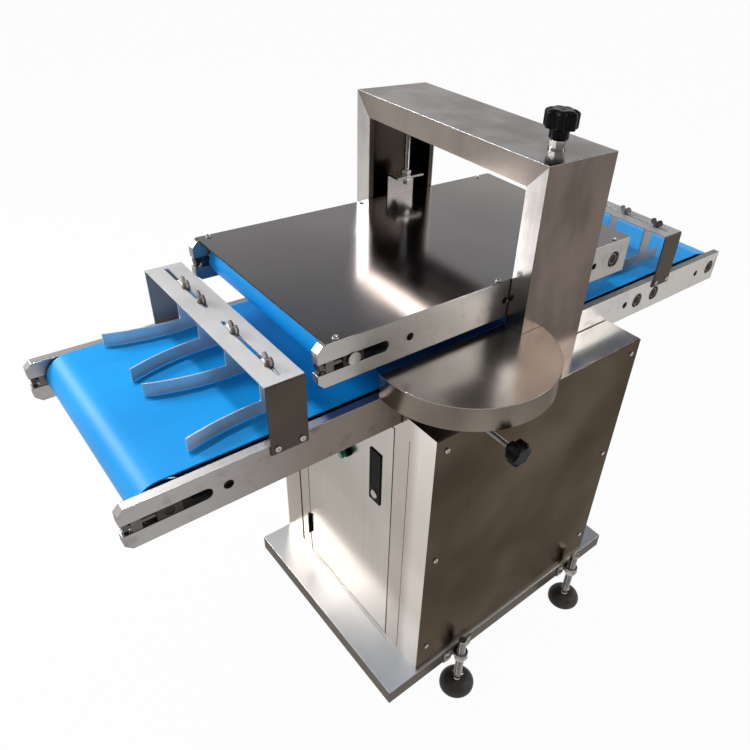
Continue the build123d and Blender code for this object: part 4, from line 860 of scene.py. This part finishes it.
@dataclass
class LiftArch:
    """Arch over the belts with the lift: threaded rods, brackets, sprocket nuts, chain and star grip."""

    finishes: Finishes
    # Tones painted with light and shade: light legs, dark beam, dark outer faces and hollows, light top.
    arch: MitredSheet = MitredSheet(
        "arch_sheet",
        beam_tone=(0.28, 0.242, 0.217), leg_tone=(0.54, 0.52, 0.5), shaded_hollow_tone=(0.05, 0.042, 0.035),
        shaded_cheek_tone=(0.175, 0.14, 0.122), lit_crown_tone=(0.5, 0.5, 0.52),
        inner=215.0 * MM, outer=256.0 * MM, soffit=1187.0 * MM, top=1231.0 * MM,
        front=-50.0 * MM, back=125.0 * MM, rough=0.24,
    )
    rod_x: float = 0.196
    rod_y: float = 0.034
    rod: Thread = Thread(6.0 * MM, 0.9 * MM, 10.0 * MM, 4, 32)
    rod_bottom: float = 1.045
    rod_length: float = 0.14
    nut: Nut = Nut(19.0 * MM, 10.0 * MM)
    nut_foots: Sequence[float] = (1.053, 1.067)
    grip_foot: float = 1.247
    grip: StarGrip = StarGrip(
        hub=17.0 * MM, hub_length=18.0 * MM, length=48.0 * MM,
        core=24.0 * MM, reach=30.0 * MM, lobe=8.4 * MM, lobes=7,
        crown=((1.0, 5.0 * MM), (0.72, 0.6 * MM), (0.34, 0.6 * MM), (0.31, 1.4 * MM), (0.0, 0.0)),
        early=1.5 * MM, step=2.5 * MM, rows=90, columns=140,
    )

    def build(self) -> None:
        """Make the rods and the grip, and dress the solids."""
        kit = self.finishes
        rods = []
        for x in (-self.rod_x, self.rod_x):
            rods.append(self.rod.bar(self.rod_length, (x, self.rod_y, self.rod_bottom), Axis.UP))
            rods += [self.nut.shell((x, self.rod_y, z)) for z in self.nut_foots]
        put("lift_screws", rods, "upper_conveyor", kit.bright_steel, ["lift_rods"])
        grip = self.grip.shell((self.rod_x, self.rod_y, self.grip_foot), Axis.UP)
        put("lift_star_grip", [grip], "lift_knob", kit.knob, ["star_knob"], 60.0)
        dress(self.arch.make(), "arch_frame")
        tones = (0.42, 0.4, 0.385), (0.3, 0.285, 0.27)
        dress(BrushedSheet("lift_bracket_sheet", *tones, Grain.ALONG_Z, 0.26).make(), "lift_brackets")
        dress(kit.bright_steel, "left_sprocket_nut", "right_sprocket_nut", "lift_chain")


@dataclass
class KnifeUnit:
    """Disc knife under its guard, spindle block with clamp screw, and the motor in the cabinet."""

    finishes: Finishes
    knife_centre: Point = (0.231, -0.164, 0.9055)
    guard_top: float = 927.0 * MM
    screw_start: Point = (0.2623, -0.212, 0.847)
    screw_length: float = 147.7 * MM
    screw: Thread = Thread(5.0 * MM, 0.8 * MM, 1.5 * MM)
    grip_start: Point = (0.401, -0.212, 0.847)
    grip: StarGrip = StarGrip(
        hub=12.0 * MM, hub_length=9.0 * MM, length=31.0 * MM,
        core=17.6 * MM, reach=22.0 * MM, lobe=6.6 * MM, lobes=6,
        crown=((1.0, 2.0 * MM), (0.85, 0.0), (0.0, 0.0)),
        early=1.2 * MM, step=2.0 * MM, rows=72, columns=120,
    )
    motor_foot: Point = (0.231, 0.070, 0.535)
    motor_radius: float = 56.0 * MM
    motor_height: float = 198.0 * MM
    bell_height: float = 34.0 * MM
    fin_depth: float = 7.0 * MM
    fins: int = 36
    columns_per_fin: int = 8
    flange_half: float = 63.0 * MM
    flange_thick: float = 6.0 * MM
    boss_radius: float = 34.0 * MM
    boss_height: float = 9.0 * MM
    bore_radius: float = 9.55 * MM
    bore_depth: float = 34.0 * MM

    def motor(self) -> Shell:
        """The motor: end bell, finned body, square flange and boss with the shaft's bore, turned as one.

        Rings are round for the bells and the boss, a square wave of the angle for the fins, and half the
        flange's width over the larger of sine and cosine for the flange, with its corners cut round.

        Returns:
            The motor's surface.
        """
        count = self.fins * self.columns_per_fin
        angle = angles(count)
        wave = np.clip(1.6 * np.cos(self.fins * angle) + 0.5, 0.0, 1.0)
        finned = self.motor_radius - self.fin_depth * (1.0 - wave)
        square = self.flange_half / np.maximum(np.abs(np.cos(angle)), np.abs(np.sin(angle)))
        square = np.minimum(square, self.flange_half * 1.28)
        outer, core, boss = self.motor_radius, self.motor_radius - self.fin_depth, self.boss_radius
        bell, tall = self.bell_height, self.motor_height
        seat = tall + self.flange_thick
        top = seat + self.boss_height
        rings = (
            (20 * MM, 0.0), (outer - 9 * MM, 0.0), (outer - 2 * MM, 4 * MM), (outer, 9 * MM), (outer, bell),
            (core, bell + 1 * MM), (core, bell + 5 * MM), (finned, bell + 7 * MM), (finned, tall - 22 * MM),
            (core, tall - 20 * MM), (core, tall - 14 * MM), (outer - 1 * MM, tall - 12 * MM),
            (outer - 1 * MM, tall), (square, tall), (square, seat), (boss, seat), (boss, top - 1 * MM),
            (boss - 1 * MM, top), (self.bore_radius, top), (self.bore_radius, top - self.bore_depth),
        )
        radius = np.stack([np.broadcast_to(ring, count) for ring, _ in rings])
        return turned(radius, np.array([[z] for _, z in rings]), self.motor_foot, Axis.UP)

    def build(self) -> None:
        """Make the clamp screw, the grip and the motor, and dress the solids."""
        kit = self.finishes
        screw = self.screw.bar(self.screw_length, self.screw_start, Axis.RIGHT)
        put("clamp_screw", [screw], "clamp_knob", kit.bearing_steel, ["clamp_rod"])
        grip = self.grip.shell(self.grip_start, Axis.RIGHT)
        put("clamp_hand_grip", [grip], "clamp_knob", kit.knob, ["hand_knob"], 60.0)
        paint = Moulding("motor_enamel", (0.045, 0.055, 0.065), (0.09, 0.1, 0.11), 0.42, grain=90.0)
        put("finned_motor", [self.motor()], "frame", paint.make(), ["knife_motor"], 30.0)
        # The guard's rim below its top is painted darker as shade.
        rim = Band("Z", self.guard_top - 0.4 * MM, self.guard_top - 1.2 * MM, (0.25, 0.21, 0.175), 0.4)
        tones = (0.5, 0.475, 0.445), (0.34, 0.315, 0.29)
        dress(BrushedSheet("guard_sheet", *tones, Grain.ALONG_X, 0.24, 5.5, bands=(rim,)).make(), "knife_guard")
        tones = (0.68, 0.68, 0.67), (0.48, 0.47, 0.46)
        dress(GroundDisc("ground_knife_steel", self.knife_centre, *tones).make(), "disc_knife")
        dress(kit.bright_steel, "knife_spindle")
        dress(kit.turned_alloy, "motor_pulley")
        dress(kit.rail_alloy, "spindle_housing")
        tones = (0.012, 0.012, 0.012), (0.035, 0.034, 0.033)
        dress(Moulding("matt_drive_belt", *tones, 0.6, grain=700.0).make(), "knife_drive_belt")


@dataclass
class CrossScrews:
    """Pan-head screws with a cross recess, in rows given by X, the way that they face, all Y and all Z."""

    finishes: Finishes
    head_radius: float = 5.5 * MM
    head_height: float = 3.2 * MM
    shank_radius: float = 2.9 * MM
    shank_length: float = 8.0 * MM
    recess_half: float = 0.75 * MM
    recess_reach: float = 3.0 * MM
    recess_depth: float = 1.6 * MM
    columns: int = 48
    # Side panel, both legs of the bridges, and the feet's brackets on both sides.
    frame_rows: Sequence[Row] = (
        (0.304, Axis.RIGHT, (-0.255, 0.272), (0.216, 0.5035, 0.791)),
        (0.212, Axis.RIGHT, (-0.5185, -0.4765, 0.464, 0.506), (0.867,)),
        (-0.212, Axis.LEFT, (-0.5185, -0.4765, 0.464, 0.506), (0.867,)),
        (0.314, Axis.RIGHT, (-0.191, -0.129, 0.209, 0.271), (0.115, 0.135)),
        (-0.242, Axis.LEFT, (-0.191, -0.129, 0.209, 0.271), (0.115, 0.135)),
    )
    cover_rows: Sequence[Row] = (
        (-0.205, Axis.UP, (-0.410, -0.075, 0.260), (1.020,)),
        (0.205, Axis.UP, (-0.410, -0.075, 0.260), (1.020,)),
    )

    def screw(self, seat: Point, axis: Axis) -> Shell:
        """One screw: shank, pan head, and a cross sunk into the crown.

        The crown's height is a shallow dome less the recess, which is full where the point lies within
        half a slot's width of either cross line and within the recess's reach, with short sloped walls.

        Args:
            seat: centre of the head's seat.
            axis: the way that the head faces.

        Returns:
            The screw's surface.
        """
        angle = angles(self.columns)
        shank = np.array([(0.6, -1.0), (1.0, -0.93), (1.0, 0.0)]) * [self.shank_radius, self.shank_length]
        rim = np.array([(1.0, 0.0), (0.99, 0.32), (0.95, 0.62), (0.86, 0.84)])
        side = np.vstack((shank, rim * [self.head_radius, self.head_height]))
        crown = np.linspace(0.78, 0.05, 12)[:, None] * self.head_radius
        dome = self.head_height * (1.0 - 0.16 * (crown / crown[0]) ** 2)
        away = np.minimum(np.abs(crown * np.cos(angle)), np.abs(crown * np.sin(angle)))
        slot = np.clip((self.recess_half - away) / (0.35 * MM) + 0.5, 0.0, 1.0)
        slot = slot * np.clip((self.recess_reach - crown) / (0.5 * MM) + 0.5, 0.0, 1.0)
        radius = np.vstack((side[:, :1], crown))
        height = np.vstack((side[:, 1:] + 0.0 * angle, dome - self.recess_depth * slot))
        return turned(radius, height, seat, axis)

    def build(self) -> None:
        """Make the screws of the panel, bridges and feet, and those of the cover."""
        steel = self.finishes.bright_steel
        panel, cover = (
            [self.screw((x, y, z), axis) for x, axis, ys, zs in rows for y in ys for z in zs]
            for rows in (self.frame_rows, self.cover_rows)
        )
        put("panel_cross_screws", panel, "frame", steel, ["panel_screws"])
        put("cover_cross_screws", cover, "upper_conveyor", steel, ["cover_screws"])


@dataclass
class Cabinet:
    """Cabinet with side panel, door, hinges, lock, power button and base tray."""

    finishes: Finishes
    tray_top: float = 145.0 * MM
    flank_start: float = 232.0 * MM
    shoulder: float = 820.0 * MM

    def build(self) -> None:
        """Dress the sheets and the fittings."""
        kit = self.finishes
        # The sheet is painted lighter towards the right flank, as light that falls there, and above the
        # shoulder, on the side housings' tops, as light from above.
        flank = Band("X", self.flank_start, self.flank_start + 35.0 * MM, (0.84, 0.78, 0.72))
        shoulder = Band("Z", self.shoulder - 0.8 * MM, self.shoulder - 0.2 * MM, (0.66, 0.645, 0.63))
        tones = (0.56, 0.51, 0.46), (0.42, 0.38, 0.34)
        shell = BrushedSheet("cabinet_sheet", *tones, Grain.ALONG_Z, 0.22, bands=(flank, shoulder))
        dress(shell.make(), "cabinet_shell")
        tones = (0.6, 0.57, 0.535), (0.43, 0.4, 0.37)
        dress(BrushedSheet("door_sheet", *tones, Grain.ALONG_Z, 0.2, 2.4).make(), "cabinet_door")
        # The side panel is the cabinet's stainless, painted much darker as shade on that side.
        tones = (0.11, 0.086, 0.066), (0.05, 0.037, 0.027)
        dress(BrushedSheet("panel_sheet", *tones, Grain.ALONG_Z, 0.22, 4.0).make(), "side_panel")
        # The tray's sides below its top are painted dark as shade.
        rim = Band("Z", self.tray_top - 0.4 * MM, self.tray_top - 1.2 * MM, (0.11, 0.092, 0.075))
        tones = (0.78, 0.775, 0.77), (0.62, 0.61, 0.6)
        tray = BrushedSheet("tray_sheet", *tones, Grain.ALONG_Y, 0.32, 4.0, metallic=0.75, bands=(rim,))
        dress(tray.make(), "base_tray")
        dress(kit.satin_black, "hinge_posts", "hinge_leaves", "lock_body", "lock_lever", "power_collar")
        dress(kit.bright_steel, "lock_button")
        tones = (0.004, 0.16, 0.07), (0.01, 0.24, 0.11)
        dress(Moulding("green_push_cap", *tones, 0.25, grain=300.0, coat=0.3).make(), "power_button")


@dataclass
class LevellingFeet:
    """Four levelling feet: threaded studs with lock nuts in nylon pads, on bolted brackets."""

    finishes: Finishes
    places: Sequence[Pair] = ((0.326, -0.160), (0.326, 0.240), (-0.254, -0.160), (-0.254, 0.240))
    ball_height: float = 19.0 * MM
    ball_radius: float = 11.0 * MM
    neck_radius: float = 8.0 * MM
    ball_rows: int = 22
    ball_columns: int = 32
    hex_foot: float = 34.0 * MM
    stud_hex: Nut = Nut(24.0 * MM, 10.0 * MM)
    stud: Thread = Thread(10.0 * MM, 1.1 * MM, 2.5 * MM)
    stud_foot: float = 43.0 * MM
    stud_length: float = 132.0 * MM
    nut_foot: float = 108.0 * MM
    nut: Nut = Nut(30.0 * MM, 13.0 * MM)

    def ball(self, foot: Point) -> Shell:
        """The stud's ball and neck: a circle's arc that runs into a straight neck, turned round the stud.

        Args:
            foot: centre of the ball.

        Returns:
            The surface.
        """
        meet = math.asin(self.neck_radius / self.ball_radius)
        sweep = np.linspace(0.12, math.pi - meet, self.ball_rows)
        radius = np.append(self.ball_radius * np.sin(sweep), self.neck_radius)
        height = np.append(-self.ball_radius * np.cos(sweep), self.hex_foot - self.ball_height)
        radius = radius[:, None] + np.zeros(self.ball_columns)
        return turned(radius, height[:, None], foot, Axis.UP)

    def build(self) -> None:
        """Make the studs and dress the pads and brackets."""
        kit = self.finishes
        shells = []
        for x, y in self.places:
            shells.append(self.stud.bar(self.stud_length, (x, y, self.stud_foot), Axis.UP))
            shells.append(self.nut.shell((x, y, self.nut_foot)))
            shells.append(self.stud_hex.shell((x, y, self.hex_foot)))
            shells.append(self.ball((x, y, self.ball_height)))
        put("levelling_studs", shells, "frame", kit.bright_steel, ["foot_studs"])
        dress(kit.pad, "foot_pads")
        tones = (0.36, 0.335, 0.31), (0.22, 0.2, 0.18)
        dress(BrushedSheet("bracket_sheet", *tones, Grain.ALONG_Y, 0.24, 9.0).make(), "foot_brackets")


@dataclass
class GuideSet:
    """Guide bridges and the plates that hang from them."""

    leg_inside: float = 209.0 * MM
    bridge_top: float = 982.4 * MM
    edge: float = 0.3 * MM

    def build(self) -> None:
        """Dress the bridges and the guide plates."""
        # The bridges' legs are painted dark as shade.
        legs = Band("X", self.leg_inside - 0.4 * MM, self.leg_inside + 0.4 * MM, (0.085, 0.07, 0.055))
        tones = (0.66, 0.66, 0.67), (0.5, 0.5, 0.5)
        bridge = BrushedSheet("bridge_sheet", *tones, Grain.ALONG_X, 0.46, 6.0, self.edge, 0.7, (legs,))
        dress(bridge.make(), "guide_bridges")
        bolts = Band("Z", self.bridge_top - 2.5 * MM, self.bridge_top - 1.5 * MM, (0.3, 0.28, 0.265), 0.3)
        tones = (0.84, 0.81, 0.78), (0.64, 0.615, 0.59)
        plate = BrushedSheet("guide_sheet", *tones, Grain.ALONG_Y, 0.36, 12.0, self.edge, 0.7, (bolts,))
        sides = ("outer_left", "inner_left", "inner_right", "outer_right")
        dress(plate.make(), *(f"front_guide_{side}" for side in sides))
        tones = (0.5, 0.48, 0.46), (0.38, 0.36, 0.345)
        dull = BrushedSheet("rear_guide_sheet", *tones, Grain.ALONG_Y, 0.46, 7.0, self.edge, bands=(bolts,))
        dress(dull.make(), "rear_guide_inner", "rear_guide_outer")


@dataclass
class Studio:
    """Camera, floor and soft light."""

    camera_place: Point = (0.90793, -0.86376, 1.55225)
    azimuth: float = 45.131
    elevation: float = 35.437
    roll: float = 5.951
    focal_pixels: float = 670.13
    centre_pixels: Pair = (451.61, 378.15)
    picture: float = 750.0
    sensor: float = 36.0
    view_end: float = 200.0
    floor_half: float = 40.0
    floor_tone: Colour = (0.6, 0.6, 0.6)
    room_white: Colour = (0.98, 0.98, 0.98)
    room_dim: Colour = (0.08, 0.08, 0.09)
    room_overhead: Colour = (0.45, 0.45, 0.46)
    # Each lamp's name, place, the point that it faces, length of its sides, and watts.
    lamps: Sequence[tuple[str, Point, Point, float, float]] = (
        ("key_lamp", (-2.9, -2.4, 2.9), (0.0, -0.3, 0.85), 1.5, 150.0),
        ("left_lamp", (-1.3, -0.5, 3.6), (0.0, -0.3, 0.8), 0.3, 44.0),
        ("front_lamp", (-0.6, -3.0, 3.0), (0.0, -0.2, 0.5), 2.6, 16.0),
        ("rear_lamp", (1.92, 2.29, 2.68), (0.25, -0.1, 0.93), 1.15, 34.0),
    )

    def camera(self) -> None:
        """Set the camera where the photograph was taken from."""
        turns = ((self.azimuth, "Z"), (90.0 - self.elevation, "X"), (self.roll, "Z"))
        turn, dip, lean = (Matrix.Rotation(math.radians(angle), 4, axis) for angle, axis in turns)
        lens = bpy.data.cameras.new("photo_camera")
        lens.sensor_width = self.sensor
        lens.lens = self.focal_pixels / self.picture * self.sensor
        lens.shift_x = (self.picture / 2 - self.centre_pixels[0]) / self.picture
        lens.shift_y = (self.centre_pixels[1] - self.picture / 2) / self.picture
        lens.clip_end = self.view_end
        holder = linked("photo_camera", lens)
        holder.matrix_world = Matrix.Translation(self.camera_place) @ turn @ dip @ lean
        bpy.context.scene.camera = holder

    def floor(self) -> None:
        """Lay a plain white floor that keeps a soft shadow."""
        half = self.floor_half
        corners = [(-half, -half, 0), (half, -half, 0), (half, half, 0), (-half, half, 0)]
        mesh = bpy.data.meshes.new("studio_floor")
        mesh.from_pydata(corners, [], [(0, 1, 2, 3)])
        sheet = NodeSheet(bpy.data.materials.new("studio_floor"))
        shade = sheet.node("BsdfDiffuse", {"Color": (*self.floor_tone, 1.0)})
        white = sheet.node("Emission", {"Strength": 1.0})
        mixed = sheet.node("MixShader", {0: sheet.seen() * 0.97, 1: shade, 2: white})
        sheet.node("OutputMaterial", {"Surface": mixed})
        mesh.materials.append(sheet.owner)
        ground = linked("studio_floor", mesh)

    def sky(self) -> None:
        """A room that is white at eye level, dim above it and grey overhead, and plain white to the camera."""
        world = bpy.data.worlds.new("studio_room")
        bpy.context.scene.world = world
        sheet = NodeSheet(world)
        ray = sheet.node("TexCoord", out="Generated")
        rise = sheet.node("SeparateXYZ", {0: ray}, out="Z")
        colour = sheet.mix(rise.ramp(0.16, 0.62), self.room_white, self.room_dim)
        colour = sheet.mix(rise.ramp(0.68, 0.9), colour, self.room_overhead)
        colour = sheet.mix(sheet.node("LightPath", out="Is Camera Ray"), colour, self.room_white)
        strength = sheet.seen() * 0.25 + 0.75
        light = sheet.node("Background", {"Color": colour, "Strength": strength})
        sheet.node("OutputWorld", {"Surface": light})

    def build(self) -> None:
        """Set up camera, floor and room, and hang soft square lamps."""
        bpy.context.scene.view_settings.view_transform = "Standard"
        self.camera()
        self.floor()
        self.sky()
        for name, place, aim, size, power in self.lamps:
            light = bpy.data.lights.new(name, "AREA")
            light.shape, light.size, light.energy = "SQUARE", size, power
            turn = (Vector(aim) - Vector(place)).to_track_quat("-Z", "Y")
            linked(name, light).matrix_world = Matrix.Translation(place) @ turn.to_matrix().to_4x4()


def main() -> None:
    """Build the looks in order."""
    logging.basicConfig(level=logging.INFO, format="%(message)s")
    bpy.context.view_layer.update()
    Studio().build()
    kit = Finishes()
    for part in (Conveyors, LiftArch, KnifeUnit, CrossScrews, Cabinet, LevellingFeet):
        part(kit).build()
    GuideSet().build()
    bpy.context.view_layer.update()


if __name__ == "__main__":
    main()
